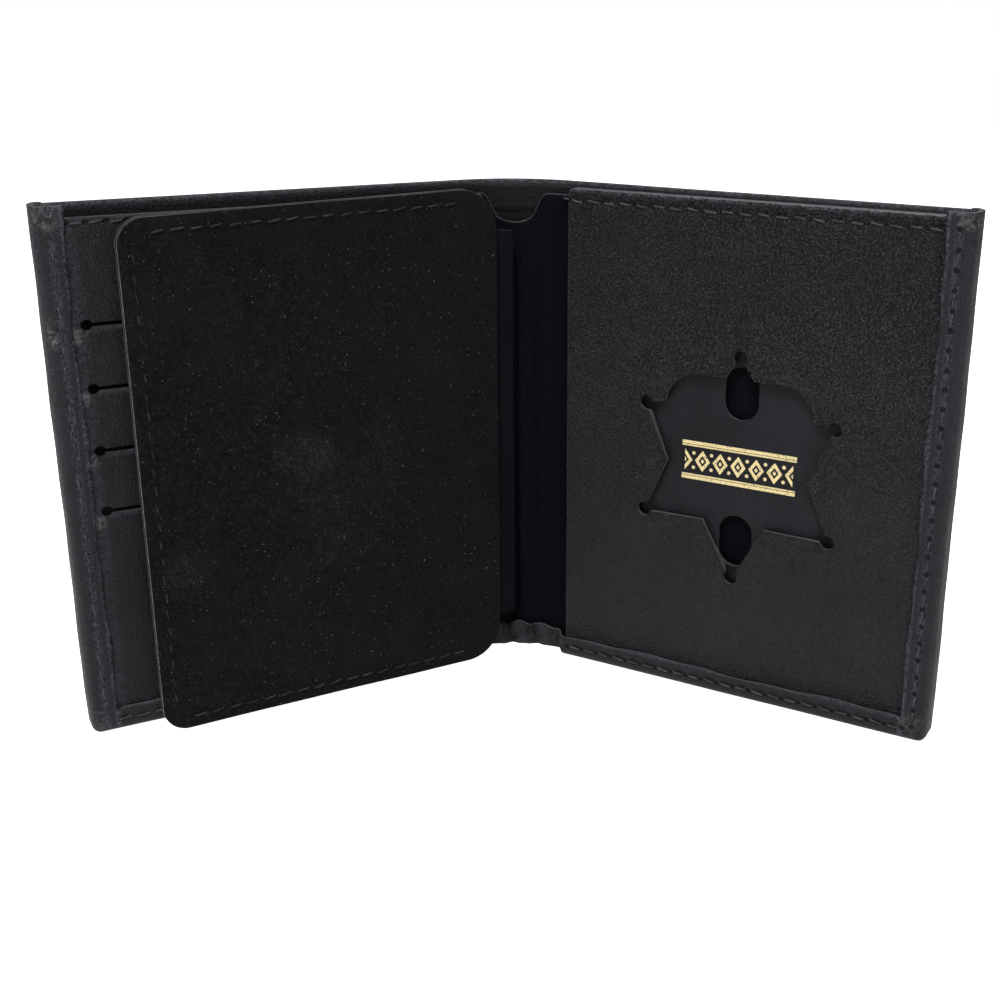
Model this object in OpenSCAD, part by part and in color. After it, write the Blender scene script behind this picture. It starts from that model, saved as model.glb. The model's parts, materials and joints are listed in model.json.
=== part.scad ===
// Folding badge wallet of black leather, standing open on its lower edge.
// One half holds four card pockets, the other a recessed star for a badge,
// and a suede flap with an ID window swings between them on the fold line.
// Frame: Z up along the fold, the open side faces -Y, the card half lies at -X.
// Each half is drawn flat in its own coordinates: X is u, the distance from the
// fold axis, Y is n, the height above the plane through that axis, Z is up.

/* [Cover] */
// Height of the wallet, along the fold
wallet_h = 115; // [108:1:124]
// Distance from the fold axis to the outer edge of a half
half_w = 102.5; // [100:0.5:110]
// Angle between the halves as they stand
open_angle = 123; // [110:1:136]
// Thickness of the cover leather
cover_t = 1.2; // [0.9:0.1:1.5]
// Thickness of the cover's turned edge, skived
hem_t = 0.9; // [0.6:0.1:1.2]
// Width of the turned edge on the inner side
hem_w = 5.5; // [4.5:0.5:7]
// Depth of the cover's turned top edge, inside the bill compartment
top_hem_w = 7; // [5:0.5:10]
// Radius of the folded outer and lower edges
fold_r = 2.2; // [1.6:0.1:2.6]
// Radius of the outer corners, seen from the front
corner_r = 2; // [1.2:0.2:3]
// Distance from the fold axis at which the stiff halves begin
crease_u = 9.5; // [8:0.5:11]
// Gap between the halves' inner faces, closed flat
closed_gap = 3.4; // [3:0.2:5]

/* [Bill compartment] */
// Thickness of the fabric lining
lining_t = 0.25; // [0.2:0.05:0.4]
// Free depth of the bill compartment
bill_gap = 1.4; // [1:0.1:2.4]
// Thickness of the divider leather
divider_t = 0.8; // [0.6:0.1:1.2]
// Width of the divider's seam allowance along its sewn edges
allowance_w = 4; // [3:0.5:6]
// Distance of the divider's top edge below the cover's
divider_drop = 3; // [2:0.5:5]
// Width of the thumb notch in the divider at the fold
notch_w = 9; // [6:0.5:11]
// Depth of the thumb notch
notch_depth = 7; // [6:0.5:10]

/* [Card pockets] */
// Thickness of the facing leather, on both halves
facing_t = 1.1; // [0.8:0.1:1.4]
// Thickness of one pocket ply
ply_t = 0.3; // [0.2:0.05:0.4]
// Room for a card between two pocket plies
card_room = 0.3; // [0.2:0.05:0.5]
// Where the card facing starts, from the fold axis
card_facing_u = 6; // [5:0.25:6.5]
// Distance of the card facing's top edge below the cover's
card_drop = 4; // [3:0.5:6]
// Distance of the first slit below the cover's top edge
slit_first = 24; // [20:1:30]
// Distance from one slit to the next
slit_pitch = 13.3; // [11:0.1:15]
// Width of a slit
slit_w = 0.7; // [0.4:0.1:1.2]
// Diameter of the relief hole at each end of a slit
relief_d = 3; // [2:0.2:4]
// Leather left between a relief hole and the edge beside it
relief_land = 1.1; // [0.6:0.1:2]
// Overlap of each pocket ply above its slit
ply_lap = 4; // [2:0.5:6]

/* [Badge recess] */
// Where the badge facing starts, from the fold axis
badge_facing_u = 12.5; // [11:0.5:15]
// Distance of the badge facing's top edge below the cover's
badge_drop = 1; // [0.5:0.25:2]
// Thickness of the recess board under the facing
board_t = 0.9; // [0.6:0.1:1]
// Thickness of the backing under the recess
backing_t = 0.9; // [0.6:0.1:1]
// Distance of the star's centre from the fold axis
star_u = 55; // [48:1:60]
// Height of the star's centre above the lower edge
star_z = 55; // [46:1:66]
// Distance from the star's centre to its ball tips
star_r = 25.5; // [22:0.5:28]
// Diameter of the ball at each tip
ball_d = 3.3; // [2.4:0.1:4]
// Width of each point just behind its ball
neck_w = 2.2; // [1.4:0.1:2.4]
// Distance from the centre to the notches beside the star
side_notch_r = 16.5; // [14:0.5:18]
// Distance from the centre to the notches under the star
low_notch_r = 14.7; // [12:0.5:16]
// Half width of the shield behind the upper points
shield_w = 17.4; // [16:0.2:19]
// Height of the shield's top above the star's centre
shield_h = 20.8; // [17:0.2:21.6]
// Radius of the shield's shoulders
shield_r = 7.5; // [4:0.5:9]
// Width of each clip hole in the backing
clip_w = 8; // [6:0.5:9]
// Height of each clip hole
clip_h = 12; // [10:0.5:13]
// Distance of each clip hole's centre above or below the star's
clip_off = 17.2; // [14:0.2:19]
// Amount by which the board's opening is wider than the facing's
board_step = 0.4; // [0.2:0.1:0.8]

/* [ID flap] */
// Angle at which the flap stands off the card half
flap_lift = 2.5; // [1.5:0.5:4]
// Distance of the suede ply's inner edge from the fold axis
flap_u = 5; // [4:0.5:7]
// Distance of the flap's free edge from the fold axis
flap_end_u = 87.5; // [80:0.5:92]
// Height of the flap's lower edge above the wallet's
flap_rise = 1.2; // [1:0.2:3]
// Distance of the flap's top edge below the wallet's
flap_drop = 1.8; // [1:0.2:4]
// Thickness of the suede ply
suede_t = 1; // [0.8:0.1:1.1]
// Thickness of the flap's leather window ply
window_ply_t = 0.8; // [0.6:0.1:0.9]
// Thickness of the clear window film
film_t = 0.25; // [0.15:0.05:0.3]
// Radius of the flap's two free corners
flap_free_r = 5.5; // [4:0.5:8]
// Radius of the flap's two corners at the fold
flap_root_r = 9; // [6:0.5:11]
// Width of the leather frame round the ID window
window_margin = 11; // [9:0.5:14]
// Radius of the ID window's corners
window_r = 4; // [2:0.5:6]
// Overlap of the film behind the window's frame
film_lap = 3; // [2:0.5:4]
// Thickness of the tape that ties the flap to the divider
tape_t = 0.8; // [0.6:0.1:1.2]

/* [Stitching] */
// Diameter of the thread
thread_d = 0.6; // [0.4:0.05:0.7]
// Length of one stitch
stitch_len = 3.2; // [2.4:0.1:3.4]
// Distance from one stitch to the next
stitch_pitch = 4; // [3.6:0.1:5]
// Distance of the cover's seam from the outer edge
seam_inset = 3; // [2.6:0.1:3.4]
// Distance of the flap's seam from its edge
flap_seam_inset = 2.8; // [2.4:0.1:3.6]
// Distance of the badge facing's top seam below its edge
top_seam_inset = 2.6; // [2:0.1:4]

/* [Hidden] */
$fn = 64;
// Running gap where one piece slides beside or under another
fit = 0.1;
// Gap kept between the tape and the flap's root welt
welt_gap = 0.3;
// Overrun of every cut past the face it opens
over = 1;
half_open = open_angle / 2;
// Layers of a half, counted along n from the fold axis outwards
hem_n = -closed_gap / 2;
facing_n = hem_n - hem_t;
core_n = facing_n - facing_t;
ply_count = 4;
ply_step = ply_t + card_room;
core_t = ply_count * ply_step;
divider_n = core_n - core_t;
gap_n = divider_n - divider_t;
lining_n = gap_n - bill_gap;
cover_n = lining_n - lining_t;
outer_n = cover_n - cover_t;
// Inside of the cover's folded edges
inner_u = half_w - cover_t - fit;
inner_z = cover_t + fit;
// Inner line of the turned edge
frame_u = half_w - hem_w;
frame_z = hem_w;
divider_top = wallet_h - divider_drop;
card_top = wallet_h - card_drop;
badge_top = wallet_h - badge_drop;
// Card slits
slit_end_u = frame_u - relief_land - relief_d / 2;
slit_start_u = card_facing_u + relief_land + relief_d / 2;
// Flap
flap_t = suede_t + card_room + film_t + window_ply_t;
flap_n = -flap_t / 2;
flap_bottom = flap_rise;
flap_top = wallet_h - flap_drop;
window_n = flap_n + window_ply_t;
film_n = window_n + film_t;
suede_n = film_n + card_room;
welt_r = -flap_n - window_ply_t / 2;
// Arcs round which the bending strips turn, centred in front of the fold
arc_y = -crease_u / cos(half_open);
arc_r = crease_u * tan(half_open);
arc_sweep = 180 - open_angle;
// Middle of the standing wallet, front to back, which is the origin
front_y = -((half_w - fold_r) * cos(half_open) + (hem_n - fold_r) * sin(half_open) + fold_r);
back_y = arc_y + arc_r - outer_n;
middle_y = (front_y + back_y) / 2;
leather = [0.07, 0.07, 0.075];
liner = [0.1, 0.1, 0.105];
suede = [0.05, 0.05, 0.05];
thread = [0.16, 0.16, 0.165];

// Places what is drawn in u, n, z on the card half, at the left
module card_half() {
    translate([0, -middle_y, 0]) rotate([0, 0, 270 - half_open]) children();
}

// Places what is drawn in u, n, z on the badge half, at the right
module badge_half() {
    translate([0, -middle_y, 0]) rotate([0, 0, half_open - 90]) mirror([0, 1, 0]) children();
}

// Places what is drawn in u, n, z on the flap
module on_flap() {
    translate([0, -middle_y, 0]) rotate([0, 0, 270 - half_open + flap_lift]) children();
}

// Turns a radial profile, x out and y up, round the bend of the spine
module bend() {
    translate([0, arc_y - middle_y, 0]) rotate([0, 0, half_open]) rotate_extrude(angle = arc_sweep)
        children();
}

// Radius at which a layer at height n runs round the bend
function bend_r(n) = arc_r - n;

// A block between two corners in u, n, z
module block(low, high) {
    translate(low) cube(high - low);
}

// A flat outline in u and z, as a sheet from n_low up to n_high
module sheet(n_low, n_high) {
    translate([0, n_high, 0]) rotate([90, 0, 0]) linear_extrude(n_high - n_low) children();
}

// A rectangle whose corner radii are given from the lower left, turning left
module rounded(low, high, radii) {
    corners = [low, [high.x, low.y], high, [low.x, high.y]];
    inward = [[1, 1], [-1, 1], [-1, -1], [1, -1]];
    difference() {
        translate(low) square(high - low);
        for (i = [0:3])
            if (radii[i] > 0)
                difference() {
                    translate(corners[i] + inward[i] * radii[i] / 2)
                        square([radii[i], radii[i]], center = true);
                    translate(corners[i] + inward[i] * radii[i]) circle(radii[i]);
                }
    }
}

// The outside of one half: folded round along its outer and lower edges
module cover_outside() {
    intersection() {
        linear_extrude(wallet_h)
            rounded([crease_u, outer_n], [half_w, hem_n], [0, fold_r, fold_r, 0]);
        translate([crease_u, 0, 0]) rotate([90, 0, 90]) linear_extrude(half_w - crease_u)
            rounded([outer_n, 0], [hem_n, wallet_h], [fold_r, fold_r, 0, 0]);
        sheet(outer_n, hem_n)
            rounded([crease_u, 0], [half_w, wallet_h], [0, corner_r, corner_r, 0]);
    }
}

// The cover of one half, with its edges turned over the stack inside it
module cover_shell() {
    difference() {
        cover_outside();
        block([crease_u - over, cover_n, cover_t], [half_w - cover_t, facing_n, wallet_h + over]);
        block([crease_u - over, facing_n - over, frame_z], [frame_u, hem_n + over, wallet_h + over]);
    }
    block([crease_u, cover_n, wallet_h - top_hem_w], [inner_u, cover_n + hem_t, wallet_h]);
}

// The lining sheet on the inner face of the cover
module lining_sheet() {
    block([crease_u, cover_n, inner_z], [inner_u, lining_n, wallet_h - top_hem_w - fit]);
}

// The front wall of the bill compartment, thicker along its sewn edges
module divider_sheet() {
    block([crease_u, gap_n, inner_z], [inner_u, divider_n, divider_top]);
    block([crease_u, lining_n + fit, inner_z], [inner_u, gap_n, inner_z + allowance_w]);
    block([inner_u - allowance_w, lining_n + fit, inner_z], [inner_u, gap_n, wallet_h - top_hem_w - fit]);
}

module outer_cover_left() {
    color(leather) card_half() cover_shell();
}

module outer_cover_right() {
    color(leather) badge_half() cover_shell();
}

// The bend of the cover, with its lower edge turned up in front of the divider
module outer_cover_spine() {
    front_r = bend_r(divider_n + hem_t) - fit;
    color(leather) bend() {
        translate([bend_r(cover_n), 0]) square([cover_t, wallet_h]);
        translate([front_r, 0]) square([bend_r(outer_n) - front_r, cover_t]);
        translate([front_r, 0]) square([hem_t, hem_w]);
        translate([bend_r(cover_n + hem_t), wallet_h - top_hem_w]) square([hem_t, top_hem_w]);
    }
}

module cover_lining_left() {
    color(liner) card_half() lining_sheet();
}

module cover_lining_right() {
    color(liner) badge_half() lining_sheet();
}

module cover_lining_spine() {
    color(liner) bend() translate([bend_r(lining_n), inner_z])
        square([lining_t, wallet_h - top_hem_w - fit - inner_z]);
}

module divider_left() {
    color(liner) card_half() divider_sheet();
}

module divider_right() {
    color(liner) badge_half() divider_sheet();
}

// The bend of the divider, with its thumb notch and its seam allowance
module divider_spine() {
    notch_r = notch_w / 2;
    color(liner) difference() {
        bend() {
            translate([bend_r(divider_n), inner_z]) square([divider_t, divider_top - inner_z]);
            translate([bend_r(gap_n), inner_z]) square([bill_gap - fit, allowance_w]);
        }
        translate([0, -middle_y, divider_top - notch_depth + notch_r]) rotate([-90, 0, 0])
            cylinder(r = notch_r, h = -outer_n);
        translate([-notch_r, -middle_y, divider_top - notch_depth + notch_r])
            cube([notch_w, -outer_n, notch_depth]);
    }
}

// One pocket ply: pocket k hangs from the lip of slit k down to the lower seam
module card_pocket_ply(k) {
    low_n = divider_n + (k - 1) * ply_step;
    top = wallet_h - slit_first - (k - 1) * slit_pitch + ply_lap;
    card_half() sheet(low_n, low_n + ply_t) translate([crease_u, inner_z])
        square([inner_u - crease_u, top - inner_z]);
}

module card_pocket_ply_1() {
    color(liner) card_pocket_ply(1);
}

module card_pocket_ply_2() {
    color(liner) card_pocket_ply(2);
}

module card_pocket_ply_3() {
    color(liner) card_pocket_ply(3);
}

module card_pocket_ply_4() {
    color(liner) card_pocket_ply(4);
}

// The card facing, with its slits and the relief holes at their ends
module card_facing() {
    color(leather) card_half() difference() {
        sheet(core_n, facing_n) translate([card_facing_u, inner_z])
            square([inner_u - card_facing_u, card_top - inner_z]);
        for (k = [0:ply_count - 1]) {
            z = wallet_h - slit_first - k * slit_pitch;
            block([slit_start_u, core_n - over, z - slit_w / 2], [slit_end_u, facing_n + over, z + slit_w / 2]);
            for (u = [slit_start_u, slit_end_u])
                translate([u, facing_n + over, z]) rotate([90, 0, 0])
                    cylinder(d = relief_d, h = facing_t + over * 2);
        }
    }
}

// A polar point about the star's centre
function polar(r, a) = r * [cos(a), sin(a)];

// The badge's outline: six ball-tipped points over a shield with round shoulders
module star_outline(grow) {
    tip_angles = [90, 150, 210, 270, 330, 30];
    core = [
        polar(side_notch_r, 0), polar(low_notch_r, 60), polar(low_notch_r, 120),
        polar(side_notch_r, 180), polar(low_notch_r, 240), polar(low_notch_r, 300)
    ];
    translate([star_u, star_z]) {
        polygon([for (p = core) p + grow * p / norm(p)]);
        for (i = [0:5]) {
            a = tip_angles[i];
            near = [for (p = core) if (p * polar(1, a) > norm(p) / 2) p];
            side = polar(neck_w / 2 + grow, a + 90);
            first = near[0];
            last = near[1];
            turn = first * side > last * side ? 1 : -1;
            tip = polar(star_r, a);
            polygon([
                first + grow * turn * side / norm(side), tip + turn * side,
                tip - turn * side, last - grow * turn * side / norm(side), [0, 0]
            ]);
            translate(tip) circle(d = ball_d + grow * 2);
        }
        rounded([-shield_w - grow, 0], [shield_w + grow, shield_h + grow], [0, 0, shield_r, shield_r]);
    }
}

// The leather under the recess, with the two holes for the badge's clip
module badge_backing() {
    back_n = core_n - board_t - backing_t;
    color(leather) badge_half() difference() {
        sheet(back_n, back_n + backing_t) translate([badge_facing_u, inner_z])
            square([inner_u - badge_facing_u, badge_top - inner_z]);
        for (z = [star_z + clip_off, star_z - clip_off])
            for (end = [-1, 1]) {
                translate([star_u, back_n + backing_t + over, z + end * (clip_h - clip_w) / 2])
                    rotate([90, 0, 0]) cylinder(d = clip_w, h = backing_t + over * 2);
                block([star_u - clip_w / 2, back_n - over, z - (clip_h - clip_w) / 2],
                    [star_u + clip_w / 2, back_n + backing_t + over, z + (clip_h - clip_w) / 2]);
            }
    }
}

// The stiff board that gives the recess its depth
module recess_board() {
    color(liner) badge_half() sheet(core_n - board_t, core_n) difference() {
        translate([badge_facing_u, inner_z]) square([inner_u - badge_facing_u, badge_top - inner_z]);
        star_outline(board_step);
    }
}

module badge_facing() {
    color(leather) badge_half() sheet(core_n, facing_n) difference() {
        translate([badge_facing_u, inner_z]) square([inner_u - badge_facing_u, badge_top - inner_z]);
        star_outline(0);
    }
}

// The suede face of the flap, which lies against the badge when closed
module flap_suede_ply() {
    color(suede) on_flap() sheet(suede_n, suede_n + suede_t)
        rounded([flap_u, flap_bottom], [flap_end_u, flap_top],
            [flap_root_r, flap_free_r, flap_free_r, flap_root_r]);
}

// The leather back of the flap: a window frame whose tongue runs to the fold
module flap_window_ply() {
    window_low = [flap_u + window_margin, flap_bottom + window_margin];
    window_high = [flap_end_u - window_margin, flap_top - window_margin];
    tongue_low = flap_bottom + flap_root_r;
    tongue_high = flap_top - flap_root_r;
    color(leather) on_flap() {
        sheet(flap_n, window_n) difference() {
            union() {
                rounded([flap_u, flap_bottom], [flap_end_u, flap_top],
                    [flap_root_r, flap_free_r, flap_free_r, flap_root_r]);
                translate([0, tongue_low]) square([flap_u + flap_root_r, tongue_high - tongue_low]);
            }
            rounded(window_low, window_high, [window_r, window_r, window_r, window_r]);
        }
        translate([0, 0, tongue_low]) cylinder(r = welt_r, h = tongue_high - tongue_low);
    }
}

module id_window() {
    edge = window_margin - film_lap;
    color([0.75, 0.78, 0.8, 0.5]) on_flap() sheet(window_n, film_n)
        rounded([flap_u + edge, flap_bottom + edge], [flap_end_u - edge, flap_top - edge],
            [window_r, window_r, window_r, window_r]);
}

// The tape between the divider's bend and the welt at the flap's root
module flap_hinge_tape() {
    start_y = welt_r + welt_gap;
    tongue_low = flap_bottom + flap_root_r;
    color(liner) intersection() {
        translate([-tape_t / 2, start_y - middle_y, tongue_low])
            cube([tape_t, -outer_n, flap_top - flap_root_r - tongue_low - notch_depth]);
        bend() square([bend_r(divider_n), wallet_h]);
    }
}

// One stitch along +X from the origin, half round on the surface y = 0
module stitch() {
    rotate([90, 0, 90]) linear_extrude(stitch_len) intersection() {
        circle(d = thread_d);
        translate([0, -thread_d / 2]) square([thread_d, thread_d]);
    }
}

// A row of stitches from one point in u, z to another, on the surface at n
module seam(from, to, n) {
    run = norm(to - from);
    count = floor((run + stitch_pitch - stitch_len) / stitch_pitch);
    start = (run - count * stitch_pitch + stitch_pitch - stitch_len) / 2;
    angle = atan2(to.y - from.y, to.x - from.x);
    translate([from.x, n, from.y]) rotate([0, -angle, 0])
        for (i = [0:count - 1])
            translate([start + i * stitch_pitch, 0, 0]) stitch();
}

// The seam round the turned edge of one half
module edge_seam() {
    side_u = half_w - seam_inset;
    seam([crease_u + thread_d, seam_inset], [side_u - thread_d, seam_inset], hem_n);
    seam([side_u, seam_inset + thread_d], [side_u, wallet_h - seam_inset], hem_n);
}

module stitching_left() {
    color(thread) card_half() edge_seam();
}

module stitching_right() {
    seam_z = badge_top - top_seam_inset;
    color(thread) badge_half() {
        edge_seam();
        seam([badge_facing_u, seam_z], [frame_u, seam_z], facing_n);
    }
}

module stitching_flap() {
    top_z = flap_top - flap_seam_inset;
    low_z = flap_bottom + flap_seam_inset;
    end_u = flap_end_u - flap_seam_inset;
    color(thread) on_flap() {
        seam([flap_u + flap_root_r, top_z], [flap_end_u - flap_free_r, top_z], suede_n + suede_t);
        seam([flap_u + flap_root_r, low_z], [flap_end_u - flap_free_r, low_z], suede_n + suede_t);
        seam([end_u, flap_bottom + flap_free_r], [end_u, flap_top - flap_free_r], suede_n + suede_t);
    }
}

outer_cover_left();
outer_cover_right();
outer_cover_spine();
cover_lining_left();
cover_lining_right();
cover_lining_spine();
divider_left();
divider_right();
divider_spine();
card_pocket_ply_1();
card_pocket_ply_2();
card_pocket_ply_3();
card_pocket_ply_4();
card_facing();
badge_backing();
recess_board();
badge_facing();
flap_suede_ply();
flap_window_ply();
id_window();
flap_hinge_tape();
stitching_left();
stitching_right();
stitching_flap();
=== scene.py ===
"""Folding badge wallet of black leather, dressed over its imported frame.

Every piece is worked out in millimetres in the wallet's own coordinates and then
placed: u is the distance from the fold line, n the height above the plane through
that line (towards the wallet's inside) and z the height above the lower edge.
Pieces that cross the fold use s in place of u, which is negative on the card half.
"""
import json
import math

import bpy
import numpy as np
from bpy.props import FloatProperty, FloatVectorProperty, PointerProperty
from mathutils import Matrix
from mathutils.geometry import delaunay_2d_cdt


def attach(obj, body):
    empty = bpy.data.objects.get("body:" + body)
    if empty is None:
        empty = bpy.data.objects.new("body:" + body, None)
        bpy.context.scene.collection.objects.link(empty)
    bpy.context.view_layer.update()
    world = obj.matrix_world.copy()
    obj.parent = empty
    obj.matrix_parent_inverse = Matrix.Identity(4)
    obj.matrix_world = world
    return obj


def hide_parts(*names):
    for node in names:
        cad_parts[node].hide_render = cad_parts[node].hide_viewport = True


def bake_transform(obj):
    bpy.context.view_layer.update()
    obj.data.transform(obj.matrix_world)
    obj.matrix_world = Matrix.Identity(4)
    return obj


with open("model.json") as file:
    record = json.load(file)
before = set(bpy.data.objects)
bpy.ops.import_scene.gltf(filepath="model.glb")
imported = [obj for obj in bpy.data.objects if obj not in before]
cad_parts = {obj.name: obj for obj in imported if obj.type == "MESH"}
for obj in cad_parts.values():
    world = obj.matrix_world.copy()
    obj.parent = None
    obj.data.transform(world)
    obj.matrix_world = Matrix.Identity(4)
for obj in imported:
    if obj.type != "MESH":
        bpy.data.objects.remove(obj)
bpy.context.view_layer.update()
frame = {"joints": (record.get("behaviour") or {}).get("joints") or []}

bl_info = {
    "name": "Folding badge wallet",
    "version": (1, 0, 0),
    "blender": (4, 5, 0),
    "location": "3D View > Sidebar > Wallet",
    "description": "Leather badge wallet with card pockets, a star recess and an ID flap",
    "category": "Object",
}

FOLD_Y = frame["joints"][0]["pos_m"][1] * 1000
MM = 0.001
BODIES = {"card": "card_half", "badge": "badge_half", "flap": "flap"}

# Heights n of the layers of one half, the step from ply to ply, and the thickness of the cloth
HEM_N = -1.7
FACING_N = -2.6
CORE_N = -3.7
DIVIDER_N = -6.1
GAP_N = -6.9
LINING_N = -8.3
COVER_N = -8.55
OUTER_N = -9.75
PLY_STEP = 0.6
CLOTH = 0.22

# Creases, edges, slits and seams of one half, as distances u and heights z
CREASE_U = 9.5
INNER_U = 101.2
INNER_Z = 1.3
WALL_INSET = 2.8
SLITS = (91.0, 77.7, 64.4, 51.1)
SLIT_ENDS = (8.6, 94.4)
CARD_FACING = (6.0, 112.3)
BADGE_FACING = (12.5, 114.0)
CLIP_OFF = 17.2
HEM_INSET = 3.0
HEM_SEAM = (3.6, 112.0)
TOP_INSET = 2.6
TOP_SEAM_END = 97.0
CARD_TOP_INSET = 0.8

# The flap: its root, lower and upper edge, corners, two faces, seam and smudges
FLAP_ROOT = 5.0
FLAP_Z = (1.2, 113.2)
FLAP_CORNERS = (9.0, 5.5, 5.5, 9.0)
FLAP_FRONT = 1.175
WINDOW_BACK = -1.175
FLAP_INSET = 2.8
SMUDGES = ((52, 60, 9, 0.75), (47, 50, 18, 0.25), (81, 38, 7, 0.5), (44, 38, 8, 0.35), (34, 57, 10, 0.25))


def number(name, description, default, **more):
    """A property that holds one number."""
    return FloatProperty(name=name, description=description, default=default, **more)


def colour(name, description, default):
    """A property that holds a colour."""
    return FloatVectorProperty(name=name, description=description, default=default, subtype="COLOR", min=0,
                               max=1)


class WalletSizes(bpy.types.PropertyGroup):
    """Sizes of the wallet, in millimetres unless they say otherwise."""

    height: number("Height", "Height along the fold", 115.0)
    half_width: number("Half width", "From the fold line to the outer edge", 102.5)
    open_angle: number("Open angle", "Angle between the halves", math.radians(123.0), subtype="ANGLE")
    flap_lift: number("Flap lift", "Angle of the flap off the card half", math.radians(2.5), subtype="ANGLE")
    hem_width: number("Turned edge", "Width of the cover's turned edge", 5.5)
    cover_leather: number("Cover leather", "Thickness of the cover", 1.2)
    flap_width: number("Flap reach", "From the fold line to the flap's free edge", 88.5)
    thread: number("Thread", "Diameter of the thread", 0.44)
    stitch: number("Stitch", "Length of one stitch", 3.1)
    pitch: number("Pitch", "From one stitch to the next", 4.0)
    star_u: number("Star across", "From the fold line to the star's centre", 55.0)
    star_z: number("Star up", "Height of the star's centre", 55.0)
    star_r: number("Star radius", "From the star's centre to its ball tips", 25.5)


class WalletFinish(bpy.types.PropertyGroup):
    """Colours of the wallet's leathers, threads and foil."""

    leather: colour("Leather", "Smooth black leather", (0.0077, 0.0073, 0.0102))
    # Bloom is also the colour of painted highlights: the grain's tops, the card slits' lips and the crests of
    # the folds at the spine.
    bloom: colour("Bloom", "Paler grey where the grain is rubbed", (0.0235, 0.0222, 0.0285))
    suede: colour("Suede", "Black suede", (0.003, 0.003, 0.0034))
    # The divider's colour is darker than the other leathers: partly its own, partly painted shade of the
    # spine. Painted shade elsewhere takes it too.
    divider: colour("Divider leather", "The inner divider's smooth leather", (0.0014, 0.0012, 0.0026))
    cut_edge: colour("Cut edge", "Raw edge of the leather", (0.06, 0.058, 0.061))
    scuff: colour("Scuff", "Brown where the finish is rubbed off", (0.06, 0.043, 0.037))
    thread: colour("Thread", "Waxed black thread", (0.0225, 0.022, 0.0255))
    lining: colour("Lining", "Black lining cloth", (0.004, 0.004, 0.0048))
    foil: colour("Foil", "Stamped gold foil", (0.7, 0.58, 0.3))


class WalletStage(bpy.types.PropertyGroup):
    """Floor, lamps and camera."""

    floor: colour("Floor", "Colour of the floor", (0.86, 0.86, 0.86))
    sky: number("Room light", "Strength of the room's own light", 0.05)
    lamp: number("Lamp", "Power of the large lamp, in watts", 7.0)


def sizes():
    """The wallet's sizes, as set in the panel."""
    return bpy.context.scene.wallet_sizes


def times(value, factor):
    """A colour made lighter or darker."""
    return [min(1.0, part * factor) for part in value]


def tint(name, factor=1.0):
    """One of the wallet's own colours, made lighter or darker."""
    return times(getattr(bpy.context.scene.wallet_finish, name), factor)


def side_seam():
    """Distance from the fold to the seam up each outer edge."""
    return sizes().half_width - HEM_INSET


def low_seam():
    """Where the seam along the lower edge starts and ends."""
    return CREASE_U + 2.5, side_seam() - 0.6


# Placing

def place(points, side):
    """Row-frame metres of (u, n, z) points, turned about the fold line to the card, badge or flap side."""
    u, n, z = np.moveaxis(np.asarray(points, float), -1, 0)
    half = sizes().open_angle / 2
    card = 1.5 * np.pi - half
    angle = {"card": card, "flap": card + sizes().flap_lift, "badge": half - np.pi / 2}[side]
    cos, sin = np.cos(angle), np.sin(angle)
    n = -n if side == "badge" else n
    return np.stack([u * cos - n * sin, u * sin + n * cos + FOLD_Y, z], -1) * MM


def place_across(points):
    """Row-frame metres of (s, n, z) points that cross the fold.

    Up to the crease a point lies on its half. Between the creases it lies on an arc about
    a centre in front of the fold, whose radius is the bend's less the height n.
    """
    points = np.asarray(points, float)
    s, n, z = np.moveaxis(points, -1, 0)
    half = sizes().open_angle / 2
    centre_y = FOLD_Y - CREASE_U / np.cos(half)
    radius = CREASE_U * np.tan(half) - n
    around = np.clip(s / CREASE_U, -1, 1) * (np.pi / 2 - half)
    bent = np.stack([radius * np.sin(around), centre_y + radius * np.cos(around), z], -1) * MM
    flat = np.where((s < 0)[..., None], place(np.stack([-s, n, z], -1), "card"), place(points, "badge"))
    return np.where((np.abs(s) < CREASE_U)[..., None], bent, flat)


# Outlines, in u and z

def arc(centre, radius, start, end, count):
    """Points on a circle about centre, from the start angle to the end angle in degrees."""
    a = np.radians(np.linspace(start, end, count))
    return np.stack([centre[0] + radius * np.cos(a), centre[1] + radius * np.sin(a)], -1)


def frame_outline(low, high, radii):
    """A rectangle from low to high with rounded corners, from the lower left, turning left."""
    (u0, z0), (u1, z1) = low, high
    corners = [(u0, z0, 1, 1, 180), (u1, z0, -1, 1, 270), (u1, z1, -1, -1, 0), (u0, z1, 1, -1, 90)]
    parts = [arc((u + a * r, z + b * r), max(r, 1e-4), t, t + 90, max(2, int(r * 3) + 2))
             for (u, z, a, b, t), r in zip(corners, radii)]
    return np.concatenate(parts)


def star_outline(grow=0.0):
    """The badge's outline: its right half from the top ball tip to the lowest one, then the mirror image.

    A straight top and a rounded shoulder lead from the top tip to the upper side tip, and plain
    notches part the others. Each tip is a ball on a narrower neck. It turns right, to be cut out.
    """
    ball, neck, shield_u, shield_z, shoulder = 1.65, 1.1, 17.4, 20.8, 7.5
    top_u, waist_u, notch_u, notch_z = 3.4, 16.5, 7.4, -12.7
    lean = math.degrees(math.asin(neck / ball))

    def tip(angle):
        """The ball at the end of the arm at that angle, from one side of its neck round to the other."""
        a = math.radians(angle)
        centre = (sizes().star_r * math.cos(a), sizes().star_r * math.sin(a))
        return arc(centre, ball + grow, angle + 180 - lean, angle - 180 + lean, 13)

    right = np.concatenate([
        tip(90)[7:], [[top_u + grow, shield_z + grow]],
        arc((shield_u - shoulder, shield_z - shoulder), shoulder + grow, 90, 4, 12),
        tip(30), [[waist_u + grow, 0.0]], tip(-30), [[notch_u + grow, notch_z - grow]], tip(-90)[:6],
    ])
    left = right[::-1] * (-1, 1)
    whole = np.concatenate([right, tip(-90)[6:7], left, tip(90)[6:7]])
    return whole + (sizes().star_u, sizes().star_z)


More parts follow.
